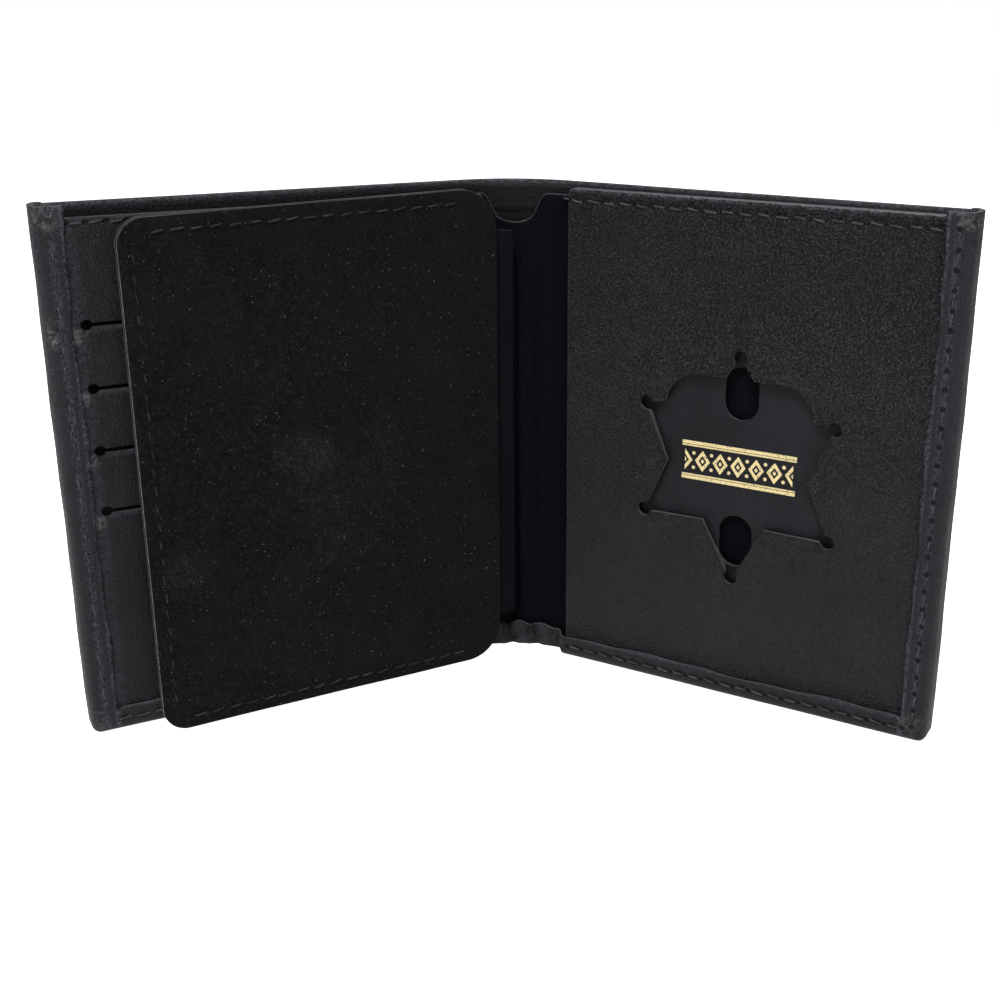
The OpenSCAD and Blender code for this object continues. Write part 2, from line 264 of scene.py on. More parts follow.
def slit_outline(z, width=0.7, relief=1.1):
    """A slit between two round relief holes, turning right so that it is cut out."""
    lean = math.degrees(math.asin(width / 2 / relief))
    left = arc((SLIT_ENDS[0], z), relief, lean, 360 - lean, 20)
    right = arc((SLIT_ENDS[1], z), relief, 180 + lean, 540 - lean, 20)
    return np.concatenate([left, right])[::-1]


def oblong_outline(centre, width, height):
    """A hole with straight sides and half-round ends, turning right so that it is cut out."""
    u, z = centre
    r, h = width / 2, (height - width) / 2
    return np.concatenate([arc((u, z + h), r, 0, 180, 16), arc((u, z - h), r, 180, 360, 16)])[::-1]


def resampled(loop, step):
    """The closed outline with points added so that none is further than step from the next."""
    following = np.roll(loop, -1, 0)
    length = np.linalg.norm(following - loop, axis=1)
    loop, following, length = loop[length > 1e-3], following[length > 1e-3], length[length > 1e-3]
    parts = np.maximum(1, np.ceil(length / step).astype(int))
    share = np.concatenate([np.arange(k) / k for k in parts])[:, None]
    return np.repeat(loop, parts, 0) * (1 - share) + np.repeat(following, parts, 0) * share


def inset(loop, by):
    """The outline moved to its left: each point by that much, square to the line between its neighbours."""
    along = np.roll(loop, -1, 0) - np.roll(loop, 1, 0)
    along /= np.linalg.norm(along, axis=1)[:, None] + 1e-12
    return loop + by * np.stack([-along[:, 1], along[:, 0]], -1)


def gap_to(points, loops):
    """Distance from each point to the nearest stretch of any outline."""
    nearest = np.full(len(points), 1e9)
    for loop in loops:
        edge = np.roll(loop, -1, 0) - loop
        share = np.einsum("pek,ek->pe", points[:, None] - loop[None], edge) / (edge ** 2).sum(1)
        foot = loop[None] + np.clip(share, 0, 1)[..., None] * edge[None]
        nearest = np.minimum(nearest, np.linalg.norm(points[:, None] - foot, axis=-1).min(1))
    return nearest


def within(points, loop):
    """Whether each point lies inside the outline: a ray to the right crosses it an odd number of times."""
    (u0, z0), (u1, z1) = loop.T[:, None, :], np.roll(loop, -1, 0).T[:, None, :]
    u, z = points[:, :1], points[:, 1:]
    spans = (z0 > z) != (z1 > z)
    rise = np.where(z1 == z0, 1e-12, z1 - z0)
    return (spans & (u < u0 + (z - z0) * (u1 - u0) / rise)).sum(1) % 2 == 1


# Meshes

def grid_quads(rows, columns, base=0, around=False):
    """The quads of a grid of points stored row by row, its columns joined round if asked."""
    r, c = np.meshgrid(np.arange(rows - 1), np.arange(columns if around else columns - 1), indexing="ij")
    d = (c + 1) % columns
    here, below = r * columns, (r + 1) * columns
    return base + np.stack([here + c, here + d, below + d, below + c], -1).reshape(-1, 4)


def welded(outer, inner, faces):
    """Joins points whose outer and inner places agree, and drops the faces that this empties."""
    key = np.round(np.concatenate([outer, inner], 1) * 500).astype(np.int64)
    _, first, back = np.unique(key, axis=0, return_index=True, return_inverse=True)
    faces = back.reshape(-1)[faces]
    repeated = (faces == np.roll(faces, -1, 1)).sum(1)
    quads = faces[repeated == 0]
    thin = faces[repeated == 1]
    keep = ~(thin == np.roll(thin, -1, 1))
    return outer[first], inner[first], [quads, thin[keep].reshape(-1, 3)]


def closed_sheet(outer, inner, face_sets, bulge=0.25):
    """Closes a sheet given by its outer points, inner points and faces.

    The inner face is the outer one turned over. Along each free edge runs a rim of two strips,
    whose middle line stands out from the sheet by a share of the thickness.
    """
    count = len(outer)
    a = np.concatenate([f.ravel() for f in face_sets])
    b = np.concatenate([np.roll(f, -1, 1).ravel() for f in face_sets])
    free = ~np.isin(b * count + a, a * count + b)
    ea, eb = a[free], b[free]
    centre = (outer + inner) / 2
    around, weight = np.zeros_like(outer), np.zeros(count)
    np.add.at(around, a, centre[b])
    np.add.at(weight, a, 1)
    away = centre - around / np.maximum(weight, 1)[:, None]
    along = np.zeros_like(outer)
    np.add.at(along, ea, centre[eb] - centre[ea])
    np.add.at(along, eb, centre[eb] - centre[ea])
    square = outer - inner
    thick = np.linalg.norm(square, axis=1)[:, None]
    out = np.cross(along, square)
    out /= np.linalg.norm(out, axis=1)[:, None] + 1e-12
    out *= np.where((out * away).sum(1) < 0, -1, 1)[:, None]
    ring = np.unique(np.concatenate([ea, eb]))
    slot = np.full(count, -1)
    slot[ring] = np.arange(len(ring)) + 2 * count
    points = np.concatenate([outer, inner, (centre + out * thick * bulge)[ring]])
    rim = np.concatenate([np.stack([eb, ea, slot[ea], slot[eb]], 1),
                          np.stack([slot[eb], slot[ea], ea + count, eb + count], 1)])
    skin = list(face_sets) + [f[:, ::-1] + count for f in face_sets]
    return points, skin, [rim]


def outward(points, face_sets):
    """The faces, all turned over if the solid's signed volume is negative."""
    volume = 0
    for faces in face_sets:
        for k in range(1, faces.shape[1] - 1):
            a, b, c = points[faces[:, 0]], points[faces[:, k]], points[faces[:, k + 1]]
            volume += (a * np.cross(b, c)).sum()
    return face_sets if volume > 0 else [faces[:, ::-1] for faces in face_sets]


def make(name, local, skin, rim=(), side=None, placed=None, slot=None, stands_for=(), finishes=()):
    """Makes a piece that rides its side's body, or is blended across the fold if it has no side.

    Its (s, n, z) places stay with it as an attribute for its materials. The first of these
    covers its faces, and a second one its rim.
    """
    if placed is None:
        placed = place(local, side) if side else place_across(local)
    sets = outward(placed, [f for f in list(skin) + list(rim) if len(f)])
    skins = sum(len(f) for f in skin)
    mesh = bpy.data.meshes.new(name)
    faces = [tuple(f) for group in sets for f in group.tolist()]
    mesh.from_pydata(placed.tolist(), [], faces)
    places = mesh.attributes.new("local", "FLOAT_VECTOR", "POINT")
    places.data.foreach_set("vector", local.astype(np.float32).ravel())
    for material in finishes:
        mesh.materials.append(material)
    if len(finishes) > 1:
        mesh.polygons.foreach_set("material_index", (np.arange(len(faces)) >= skins).astype(np.int32))
    mesh.polygons.foreach_set("use_smooth", np.ones(len(faces), bool))
    mesh.validate()
    mesh.update()
    piece = bpy.data.objects.new(name, mesh)
    bpy.context.scene.collection.objects.link(piece)
    if side:
        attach(piece, BODIES[side])
    else:
        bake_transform(piece)
    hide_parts(*stands_for)
    return piece


def plate(name, loops, top, thick, side, step=1.7, edge=0.22, relief=None, lips=(), **made):
    """A sheet cut to the first outline, with the others cut out of it.

    Its height at (u, z) is the top height plus relief(u, z), less a quarter round of radius
    edge towards its cut edges. Its inner face is the thickness lower, rounded the same way.
    """
    loops = [resampled(loop, step * 0.6) for loop in loops]
    rings = [inset(loop, d) for loop in loops for d in (edge * 0.35, edge)]
    rings += [inset(loop, d) for loop in loops[1:] for d in lips]
    low, high = loops[0].min(0), loops[0].max(0)
    across, up = np.meshgrid(np.arange(low[0], high[0], step), np.arange(low[1], high[1], step * 0.87))
    across[1::2] += step / 2
    field = np.stack([across.ravel(), up.ravel()], -1)
    field = field[gap_to(field, loops) > step * 0.5]
    points = np.concatenate(loops + rings + [field])
    edges, base = [], 0
    for loop in loops:
        ids = base + np.arange(len(loop))
        edges.append(np.stack([ids, np.roll(ids, -1)], -1))
        base += len(loop)
    cut = delaunay_2d_cdt(points.tolist(), np.concatenate(edges).tolist(), [], 1, 1e-6)
    flat = np.array([tuple(v) for v in cut[0]])
    faces = np.array(cut[2])
    for hole in loops[1:]:
        faces = faces[~within(flat[faces].mean(1), hole)]
    gap = np.minimum(gap_to(flat, loops), edge) / edge
    drop = edge * (1 - np.sqrt(np.maximum(0, 1 - (1 - gap) ** 2)))
    rise = relief(flat[:, 0], flat[:, 1]) if relief else 0
    outer = np.stack([flat[:, 0], top - drop + rise, flat[:, 1]], -1)
    inner = np.stack([flat[:, 0], top - thick + drop * 0.6 + rise, flat[:, 1]], -1)
    return make(name, *closed_sheet(outer, inner, [faces], 0.12), side=side, **made)


def strip(name, s, z, level, thick, waves, **made):
    """A sheet over the grid of s and z, at the height level plus waves, given its thickness."""
    outer, inner = [np.stack([s, level + half + waves, z], -1).reshape(-1, 3)
                    for half in (thick / 2, -thick / 2)]
    return make(name, *closed_sheet(outer, inner, [grid_quads(*s.shape)], 0.2), **made)


def ripple(u, z, size, seed, scale=1.0):
    """Smooth unevenness of about the given size: sines along directions that follow from the seed."""
    total, golden_angle = 0, 2.399
    for k in range(5):
        turn = golden_angle * (k + 1) + seed * 1.7
        wave = (0.05 + 0.035 * k) * scale
        run = wave * (u * np.cos(turn) + z * np.sin(turn)) * 2
        total = total + np.sin(run + seed * (k + 2.3)) / (k + 1.5)
    return total * size


# Shader maths

def math_step(operation, swapped=False):
    """A method that adds one kind of Math node, with its values in the other order if swapped."""
    def method(self, *others):
        values = (*others, self) if swapped else (self, *others)
        return self.tree.node("ShaderNodeMath", {"operation": operation}, dict(enumerate(values)))
    return method


class Flow:
    """A socket's value in a shader tree. Sums, products and comparisons on it add Math nodes."""

    def __init__(self, tree, socket):
        self.tree, self.socket = tree, socket

    __add__ = __radd__ = math_step("ADD")
    __mul__ = __rmul__ = math_step("MULTIPLY")
    __sub__ = math_step("SUBTRACT")
    __rsub__ = math_step("SUBTRACT", True)
    __truediv__ = math_step("DIVIDE")
    __lt__ = math_step("LESS_THAN")
    __gt__ = math_step("GREATER_THAN")
    __abs__ = math_step("ABSOLUTE")
    fraction = math_step("FRACT")
    sine = math_step("SINE")
    power = math_step("POWER")
    least = math_step("MINIMUM")
    most = math_step("MAXIMUM")

    def ramp(self, start, end, low=0.0, high=1.0):
        """Smoothly from low at start to high at end, and level outside."""
        values = {"Value": self, "From Min": start, "From Max": end, "To Min": low, "To Max": high}
        return self.tree.node("ShaderNodeMapRange", {"interpolation_type": "SMOOTHSTEP"}, values)

    def fall(self, start, end, high=1.0):
        """Smoothly from high at start to 0 at end."""
        return self.ramp(start, end, high, 0.0)


def distance(a, b):
    """The length of two shader values taken square to each other."""
    return (a * a + b * b).power(0.5)


class Finish:
    """A material's shader tree. Its spot is the piece's own (s, n, z) in millimetres, which bends with it."""

    def __init__(self, name):
        self.material = bpy.data.materials.new(name)
        self.material.use_nodes = True
        self.nodes, self.links = self.material.node_tree.nodes, self.material.node_tree.links
        self.nodes.clear()
        self.spot = self.node("ShaderNodeAttribute", {"attribute_name": "local"}, output="Vector")
        self.u, self.n, self.z = self.parts(self.spot)

    def node(self, kind, settings=None, inputs=None, output=0):
        """Adds a node, its settings first, then its sockets' values or links, and returns one output."""
        made = self.nodes.new(kind)
        for key, value in (settings or {}).items():
            setattr(made, key, value)
        for key, value in (inputs or {}).items():
            if isinstance(value, Flow):
                self.links.new(value.socket, made.inputs[key])
            else:
                made.inputs[key].default_value = value
        return Flow(self, made.outputs[output])

    def parts(self, vector):
        """The three parts of a vector."""
        split = self.node("ShaderNodeSeparateXYZ", {}, {0: vector}).socket.node
        return [Flow(self, output) for output in split.outputs]

    def noise(self, scale, detail=3.0, rough=0.6, stretch=None, output="Fac"):
        """Noise over the spot, whose parts are first multiplied by stretch."""
        spot = self.spot
        if stretch:
            spot = self.node("ShaderNodeVectorMath", {"operation": "MULTIPLY"}, {0: spot, 1: stretch})
        return self.node("ShaderNodeTexNoise", {}, {"Vector": spot, "Scale": scale, "Detail": detail,
                                                    "Roughness": rough}, output)

    def cells(self, vector, scale, feature="F1", output="Distance"):
        """Voronoi cells over a vector."""
        values = {"Vector": vector, "Scale": scale}
        return self.node("ShaderNodeTexVoronoi", {"feature": feature}, values, output)

    def mixed(self, share, *ends):
        """The first colour turning into the second by the share."""
        first, second = [end if isinstance(end, Flow) else (*end, 1.0) for end in ends]
        return self.node("ShaderNodeMix", {"data_type": "RGBA"}, {0: share, 6: first, 7: second}, 2)

    def surface(self, height=None, depth=0.0, **inputs):
        """Ends the tree with a Principled shader. A height of 0 to 1 is relief of depth millimetres."""
        if height is not None:
            inputs["Normal"] = self.node("ShaderNodeBump", {}, {"Height": height, "Distance": depth * MM})
        named = {key.replace("_", " "): value for key, value in inputs.items()}
        shader = self.node("ShaderNodeBsdfPrincipled", {}, named)
        output = self.nodes.new("ShaderNodeOutputMaterial")
        self.links.new(shader.socket, output.inputs["Surface"])
        return self.material


# Materials

def stitch_row(start, end):
    """How many stitches fit from start to end, and where the first one's needle hole is."""
    size = sizes()
    count = int((end - start + size.pitch - size.stitch) // size.pitch)
    return count, (start + end - count * size.pitch) / 2


def seam_marks(u, z, runs):
    """Darkness of the needle holes between the stitches, which is painted shade, and of the shallow groove
    that the thread lies in.

    A run is its direction, up at a distance u or along at a height z, then its start and end.
    """
    pitch, oval, past_end = sizes().pitch, 1.1402, 1.5
    holes, groove = 0.0, 0.0
    for direction, line, start, end in runs:
        along, across = (z, u) if direction == "up" else (u, z)
        first = stitch_row(start, end)[1]
        off = abs(across - line)
        step = abs(((along - first) / pitch + 0.5).fraction() - 0.5) * pitch
        inside = (along > start - past_end) * (along < end + past_end)
        holes = distance(step, off * oval).fall(0.42, 0.72) * inside + holes
        groove = off.fall(0.3, 1.3) * inside + groove
    return holes, groove


def leather(name, base, bloom, pebble=0.8, depth=0.05, gloss=0.5, shine=0.22, creases=0.0, runs=(), worn=(),
            scuffs=(), dull=(), sparkle=0.0, gathered=False):
    """Black leather: pebbles from Voronoi cells, fine grain and broad unevenness from noise.

    runs are seams, worn is pale bands, rubbed wear and, below the card slits, painted highlights (direction,
    line, half width, share, and if need be the height n above which it shows), and scuffs are rubbed ovals
    (u, z, half width, half height, colour).
    The boxes of painted shade, each of lowest and highest u, n and z, darken the colour inside them towards
    the divider's tone as painted shade, and make the leather rougher there.
    The glint share paints highlights on the grain's pale tops and painted shade in its dark valleys, stronger
    higher up where the light from above falls; it also gives the tops a waxy, glossy coat.
    The fold flag paints shade over the lower edge's folds at the spine, deeper shade in their valleys, and
    painted highlights on their crests.
    """
    tree = Finish(name)
    u, n, z = tree.u, tree.n, tree.z
    drift = tree.noise(0.5 / pebble, 2.0, 0.5, output="Color")
    warped = tree.node("ShaderNodeVectorMath", {"operation": "MULTIPLY_ADD"},
                       {0: drift, 1: (pebble,) * 3, 2: tree.spot})
    grain = 1 - tree.cells(warped, 1.0 / pebble, "SMOOTH_F1")
    lines = tree.cells(warped, 0.55 / pebble, "DISTANCE_TO_EDGE")
    fine, broad = tree.noise(2.6 / pebble), tree.noise(0.035)
    patch, speck = tree.noise(0.16, 4.0, 0.65), tree.noise(1.3, 5.0, 0.75)
    height = grain * 0.6 + fine * 0.35 + lines.ramp(0.0, 0.2) * 0.25
    if creases:
        folded = tree.noise(1.0, 4.0, stretch=(0.9, 0.9, 0.055))
        height = height + abs(folded - 0.5).ramp(0.0, 0.08) * creases
    tone = grain.ramp(0.35, 0.85) * fine.ramp(0.4, 0.65) * 0.5
    tone = broad.ramp(0.35, 0.7) * 0.3 + patch.ramp(0.45, 0.75) * 0.2 + tone
    skin = tree.mixed(tone, base, bloom)
    wax = {}
    # Painted highlights on the grain's tops and painted shade in its valleys, stronger higher up where the
    # light from above falls; the coat on the tops adds gloss.
    if sparkle:
        share = z.ramp(25.0, 90.0, 0.35, 1.0) * sparkle
        skin = tree.mixed(grain.fall(0.45, 0.66) * share, skin, times(base, 0.2))
        skin = tree.mixed(grain.ramp(0.74, 0.9) * fine.ramp(0.42, 0.58) * share, skin, times(bloom, 2.4))
        wax = {"Coat_Weight": grain.ramp(0.62, 0.84) * fine.ramp(0.42, 0.56) * share, "Coat_Roughness": 0.4}
    # Pale bands: wear, and painted highlights where the card facing gives its slits' lips.
    for direction, line, half, share, *above in worn:
        off = abs((abs(u) if direction == "up" else z) - line)
        rubbed = off.fall(half * 0.25, half, share) * speck.ramp(0.42, 0.6)
        if above:
            rubbed = rubbed * (n > above[0])
        skin = tree.mixed(rubbed, skin, times(bloom, 4.0))
    for scuff_u, scuff_z, wide, high, pale in scuffs:
        away = distance((u - scuff_u) / wide, (z - scuff_z) / high)
        skin = tree.mixed(away.fall(0.3, 1.0) * speck.ramp(0.42, 0.62), skin, pale)
    rough = patch * 0.14 + fine * 0.1 + gloss
    # Painted shade: inside each box the colour is darkened towards the divider's tone, and the leather is
    # made rougher.
    soft = 0.4
    for box in dull:
        shade = 1.0
        for value, (low, high) in zip((u, n, z), box):
            shade = value.ramp(low - soft, low + soft) * value.fall(high - soft, high + soft) * shade
        skin = tree.mixed(shade * 0.75, skin, tint("divider", 1.2))
        rough = rough + shade * 0.3
    # Painted shade over the folds at the spine and in their valleys, and painted highlights on their crests.
    if gathered:
        lobe = abs((u * 0.62 + z * 0.16 + 0.5).sine())
        near = abs(u).fall(5.0, 11.0) * z.fall(4.0, 8.5) * (n > -8.0)
        skin = tree.mixed(near * 0.5, skin, times(base, 0.4))
        skin = tree.mixed(lobe.fall(0.0, 0.4) * near, skin, times(base, 0.1))
        skin = tree.mixed(lobe.ramp(0.7, 1.0) * near * speck.ramp(0.4, 0.56) * 0.8, skin, times(bloom, 1.8))
    if runs:
        holes, groove = seam_marks(u, z, runs)
        height = height - holes * 1.8 - groove * 0.5
        # Painted shade in the needle holes.
        skin = tree.mixed(holes.least(1.0) * 0.8, skin, (0.001, 0.001, 0.001))
        rough = rough + holes * 0.4
    return tree.surface(height, depth, Base_Color=skin, Roughness=rough, Specular_IOR_Level=shine, **wax)


def suede(name):
    """Brushed nap in two sizes of noise, rubbed patches, a few pale smudges, and specks of dust and lint."""
    tree = Finish(name)
    nap, tufts = tree.noise(1.7, 5.0, 0.8), tree.noise(0.8, 4.0, 0.7)
    brushed = tree.noise(1.0, 4.0, 0.65, (0.4, 0.4, 0.14))
    blotch, broad = tree.noise(0.11, 4.0, 0.65), tree.noise(0.03)
    pile = broad.ramp(0.35, 0.7) * 0.35 + brushed.ramp(0.3, 0.75) * 0.2 + blotch.ramp(0.4, 0.65) * 0.35
    skin = tree.mixed(pile, tint("suede", 0.8), tint("suede", 2.2))
    skin = tree.mixed(tufts.ramp(0.5, 0.66) * 0.4, skin, tint("suede", 4.0))
    skin = tree.mixed(nap.ramp(0.5, 0.68), skin, tint("suede", 7.0))
    uneven = tree.noise(0.13, 4.0, 0.7) - 0.5
    for smudge_u, smudge_z, radius, share in SMUDGES:
        away = distance(tree.u - smudge_u, tree.z - smudge_z) + uneven * radius * 2.2
        skin = tree.mixed(away.fall(0.0, radius, share) * nap.ramp(0.35, 0.65), skin, (0.03, 0.03, 0.032))
    dusty = tree.noise(0.09).ramp(0.4, 0.7) * 0.6 + 0.4
    for scale, reach, fewest in ((0.3, 0.08, 0.55), (0.75, 0.13, 0.4)):
        lot = tree.parts(tree.cells(tree.spot, scale, output="Color"))[0]
        seen = tree.cells(tree.spot, scale).fall(reach * 0.6, reach) * (lot > fewest) * dusty
        skin = tree.mixed(seen * 0.9, skin, (0.17, 0.165, 0.15))
    return tree.surface(nap * 0.8 + tufts * 0.5, 0.5, Base_Color=skin, Roughness=0.97,
                        Specular_IOR_Level=0.05, Sheen_Weight=0.02, Sheen_Roughness=0.6)


def cut_edge(name):
    """The raw side of the leather: paler fibres in thin layers."""
    tree = Finish(name)
    layers, speck = tree.noise(1.0, stretch=(0.6, 7.0, 0.6)), tree.noise(2.6, 4.0, 0.7)
    fibres = (layers * 0.6 + speck * 0.5).ramp(0.35, 0.8)
    skin = tree.mixed(fibres, tint("cut_edge", 0.45), tint("cut_edge", 1.5))
    return tree.surface(layers + speck, 0.08, Base_Color=skin, Roughness=0.8, Specular_IOR_Level=0.3)


def suede_edge(name):
    """The suede's cut side: dark, with a thin pale line of fibres along its front corner."""
    tree = Finish(name)
    speck = tree.noise(2.2, 4.0, 0.7)
    fibres = tree.n.ramp(0.55, 1.05) * speck.ramp(0.3, 0.6)
    skin = tree.mixed(fibres, tint("suede", 1.5), tint("cut_edge", 4.0))
    return tree.surface(speck, 0.1, Base_Color=skin, Roughness=0.9, Specular_IOR_Level=0.15)


def cloth(name, base, pitch=0.35):
    """Plain weave: two crossed sines at the thread pitch, with slubs from noise."""
    tree = Finish(name)
    warp, weft = [(value * (2 * math.pi / pitch)).sine() for value in (tree.u, tree.z)]
    weave = warp * weft * 0.5 + 0.5
    slub = tree.noise(1.0, stretch=(0.3, 1.0, 2.2))
    skin = tree.mixed(weave * 0.6 + slub * 0.4, base, times(base, 2.0))
    return tree.surface(weave + slub * 0.5, 0.04, Base_Color=skin, Roughness=0.9, Specular_IOR_Level=0.08)


def waxed_thread(name, base, shine):
    """Twisted strands: a slanted sine along the thread, dulled by wax, and rubbed pale here and there."""
    tree = Finish(name)
    twist = 0.5
    strands = ((tree.u + tree.z + tree.n * 2.0) * (2 * math.pi / twist)).sine() * 0.5 + 0.5
    fuzz, rubbed = tree.noise(4.0), tree.noise(0.21, 3.0, 0.7)
    skin = tree.mixed(strands * 0.5 + fuzz * 0.4, base, times(base, 3.2))
    skin = tree.mixed(rubbed.ramp(0.42, 0.6), times(base, 0.8), skin)
    return tree.surface(strands + fuzz * 0.4, 0.08, Base_Color=skin, Roughness=0.6, Specular_IOR_Level=shine)


def stamped_leather(name):
    """The backing's smooth leather with a stamped band of gold lozenges between two rules, worn to specks.

    Painted shade makes the leather darkest in the ball tips, the recess's deep, narrow ends. In the band each
    cell holds one lozenge, a ring round a heart, and two beads stand where cells meet.
    """
    tree = Finish(name)
    du, dz = tree.u - sizes().star_u, tree.z - sizes().star_z
    grain = 1 - tree.cells(tree.spot, 1.5, "SMOOTH_F1")
    fine, broad = tree.noise(4.5), tree.noise(0.08)
    wear, speck = tree.noise(2.4, 5.0, 0.75), tree.noise(3.1, 4.0, 0.7)
    reach = sizes().star_r
    # Painted shade in the deep, narrow ball tips of the recess.
    tips = [distance(abs(du) - a * reach, abs(dz) - b * reach).fall(1.8, 4.2)
            for a, b in ((0.0, 1.0), (0.866, 0.5))]
    skin = tree.mixed(broad.ramp(0.3, 0.7) * 0.4 + grain * 0.15, tint("leather", 0.7), tint("bloom", 0.7))
    skin = tree.mixed(speck.ramp(0.6, 0.7) * 0.5, skin, tint("bloom", 2.0))
    skin = tree.mixed(tips[0].most(tips[1]) * 0.8, skin, tint("divider", 0.5))
    cell, half_wide, half_high, band_z, half_band, half_rules = 4.3, 1.85, 2.5, 0.4, 12.9, 13.6
    slot = abs(((du / cell + 0.5).fraction() - 0.5) * cell)
    rise = abs(dz - band_z)
    lozenge = slot / half_wide + rise / half_high
    ring = (lozenge < 1.0) * (lozenge > 0.52)
    heart = lozenge < 0.24
    bead = distance(slot - cell / 2, rise - 1.7) < 0.42
    thin_rule, wide_rule = abs(rise - 3.45) < 0.2, abs(rise - 4.15) < 0.38
    shape = ring.most(heart).most(bead) * (abs(du) < half_band)
    shape = shape.most(thin_rule.most(wide_rule) * (abs(du) < half_rules))
    foil = shape * wear.ramp(0.36, 0.45)
    skin = tree.mixed(foil, skin, tree.mixed(fine, tint("foil"), tint("foil", 1.3)))
    return tree.surface(grain * 0.5 + fine * 0.4 - shape * 0.8, 0.16, Base_Color=skin,
                        Roughness=0.5 - foil * 0.12, Metallic=foil * 0.35, Specular_IOR_Level=0.16)


def clear_film(name):
    """Clear vinyl, slightly hazy where it is rubbed."""
    tree = Finish(name)
    haze = tree.noise(0.12, 4.0, 0.65)
    skin = tree.mixed(haze, (0.22, 0.23, 0.25), (0.4, 0.41, 0.43))
    return tree.surface(haze, 0.2, Base_Color=skin, Roughness=haze * 0.2 + 0.12, Alpha=haze * 0.16 + 0.06)


def shared(name, maker, *values, **settings):
    """The material of that name, made by maker(name, ...) if no piece has asked for it yet."""
    return bpy.data.materials.get(name) or maker(name, *values, **settings)


def raw_edge():
    """The cut edge that most leather pieces share."""
    return shared("leather_cut_edge", cut_edge)


def lining_cloth():
    """The cloth of the lining and of the pocket plies."""
    return shared("lining_cloth", cloth, tint("lining"))


# Cover, lining and divider, which cross the fold

def cover_lift(s, z):
    """The cover's slow unevenness, the same on both its faces."""
    return ripple(s, z, 0.07, 3.0)


def divider_lift(s, z):
    """The divider's soft waves near the fold, and the crease beside the fold line."""
    near = np.exp(-(s / 8.0) ** 2)
    waves = near * (0.16 * np.sin(s * 1.5) + 0.12 * np.sin(s * 0.8 + z * 0.05))
    return waves - 0.1 * np.exp(-((s + 1.5) / 0.5) ** 2)


def bottom_level(s):
    """Height of the turned lower edge at s: on the stack of each half, and on the divider at the spine."""
    start, slope, above_divider = 12.2, 3.4, 1.0
    near = np.clip((start - np.abs(s)) / slope, 0, 1)
    return HEM_N - (HEM_N - DIVIDER_N - above_divider) * near * near * (3 - 2 * near)


def along_shares():
    """Shares of the half width at which the cover has columns: x (0.45 + 0.55 x^2), closest at the fold."""
    x = np.linspace(-1, 1, 260)
    return x * (0.45 + 0.55 * x * x)


def cover_edge():
    """The cover's edge, turned over the stack round the outer and lower edges.

    A profile in inset d and height n is carried round the outline. At inset d the outline's
    straight runs end where the neighbour's inset line crosses them, which mitres the corners.
    """
    width, top, turn, corner = sizes().half_width, sizes().height, 2.2, 2.0
    hem, thick, thin = sizes().hem_width, sizes().cover_leather, 0.9
    quarter = np.radians(np.linspace(0, 90, 6))
    sin, cos = np.sin(quarter), np.cos(quarter)
    d = np.concatenate([[WALL_INSET], turn - turn * sin, [0, 0, 0], turn - turn * cos,
                        np.linspace(turn, hem - 0.25, 10)[1:], [hem]])
    n = np.concatenate([[OUTER_N], OUTER_N + turn - turn * cos,
                        np.linspace(OUTER_N + turn, HEM_N - turn, 5)[1:4],
                        HEM_N - turn + turn * sin, np.full(9, HEM_N), [HEM_N - 0.18]])
    out_d = np.concatenate([[0], -sin, [-1, -1, -1], -cos, np.zeros(9), [0.3]])
    out_n = np.concatenate([[-1], -cos, [0, 0, 0], sin, np.ones(9), [0.95]])
    share = np.clip((n - OUTER_N) / (HEM_N - OUTER_N), 0, 1)[None, :]
    thickness = thick - (thick - thin) * share[0]
    down = np.linspace(0, 1, 96)[:, None]
    across = along_shares()[:, None]
    round_by = np.radians(np.linspace(0, 90, 7))[:, None]

    def outline(by):
        """s and z of the outline at the inset by."""
        mid, left = np.maximum(by, corner), np.maximum(corner - by, 0)
        side_z = top - (top - mid) * down
        low_s = (width - mid) * across
        s = np.concatenate([np.broadcast_to(by - width, side_z.shape), mid - width - left * np.cos(round_by),
                            low_s, width - mid + left * np.sin(round_by),
                            np.broadcast_to(width - by, side_z.shape)])
        z = np.concatenate([side_z, mid - left * np.sin(round_by), np.broadcast_to(by, low_s.shape),
                            mid - left * np.cos(round_by), side_z[::-1]])
        return s, z

    def shaped(by, level):
        """The profile carried round, with its seam's groove, its uneven cut and the folds at the spine."""
        by = by[None, :]
        s, z = outline(by)
        row = np.arange(len(s))[:, None]
        side = (row < len(down)) | (row >= len(s) - len(down))
        run = np.where(side, z, width - np.abs(s)) - np.maximum(by, corner)
        front = share ** 4
        level = level[None, :] + (bottom_level(s) - HEM_N) * share ** 2
        seam = -0.18 * np.exp(-((by - HEM_INSET) / 0.7) ** 2)
        puff = 0.06 * np.sin(run * 2 * np.pi / sizes().pitch) * np.exp(-((by - HEM_INSET) / 1.6) ** 2)
        lobes = np.abs(np.sin(s * 0.62 + z * 0.16 + 0.5))
        near = np.exp(-(s / 7.5) ** 2)
        folds = 2.2 * lobes - 0.9 + 0.35 * np.sin(s * 2.3 - z * 0.8 + 1.0)
        folds = near * np.clip(1 - z / 9.0, 0, 1) * folds
        away = np.clip(run / 9, 0, 1)
        swell = 0.22 * np.sin(np.pi * share) ** 2 * (1 + 0.5 * np.sin(run * 0.11) + 0.3 * np.sin(run * 0.37))
        cut = -np.clip((by - 3.8) / 1.4, 0, 1) * (0.28 * np.sin(run * 0.13) + 0.16 * np.sin(run * 0.41 + 1))
        s = s + np.where(side, np.sign(s) * (swell + cut) * away, 0)
        tongue = near * front * (by / hem) ** 2 * (1.8 * lobes - 0.7)
        z = z + np.where(side, 0, tongue - cut * away)
        return np.stack([s, level + (seam + puff + folds) * front + cover_lift(s, z), z], -1)

    outer = shaped(d, n)
    inner = shaped(d - thickness * out_d, n - thickness * out_n)
    return outer.reshape(-1, 3), inner.reshape(-1, 3), grid_quads(*outer.shape[:2])


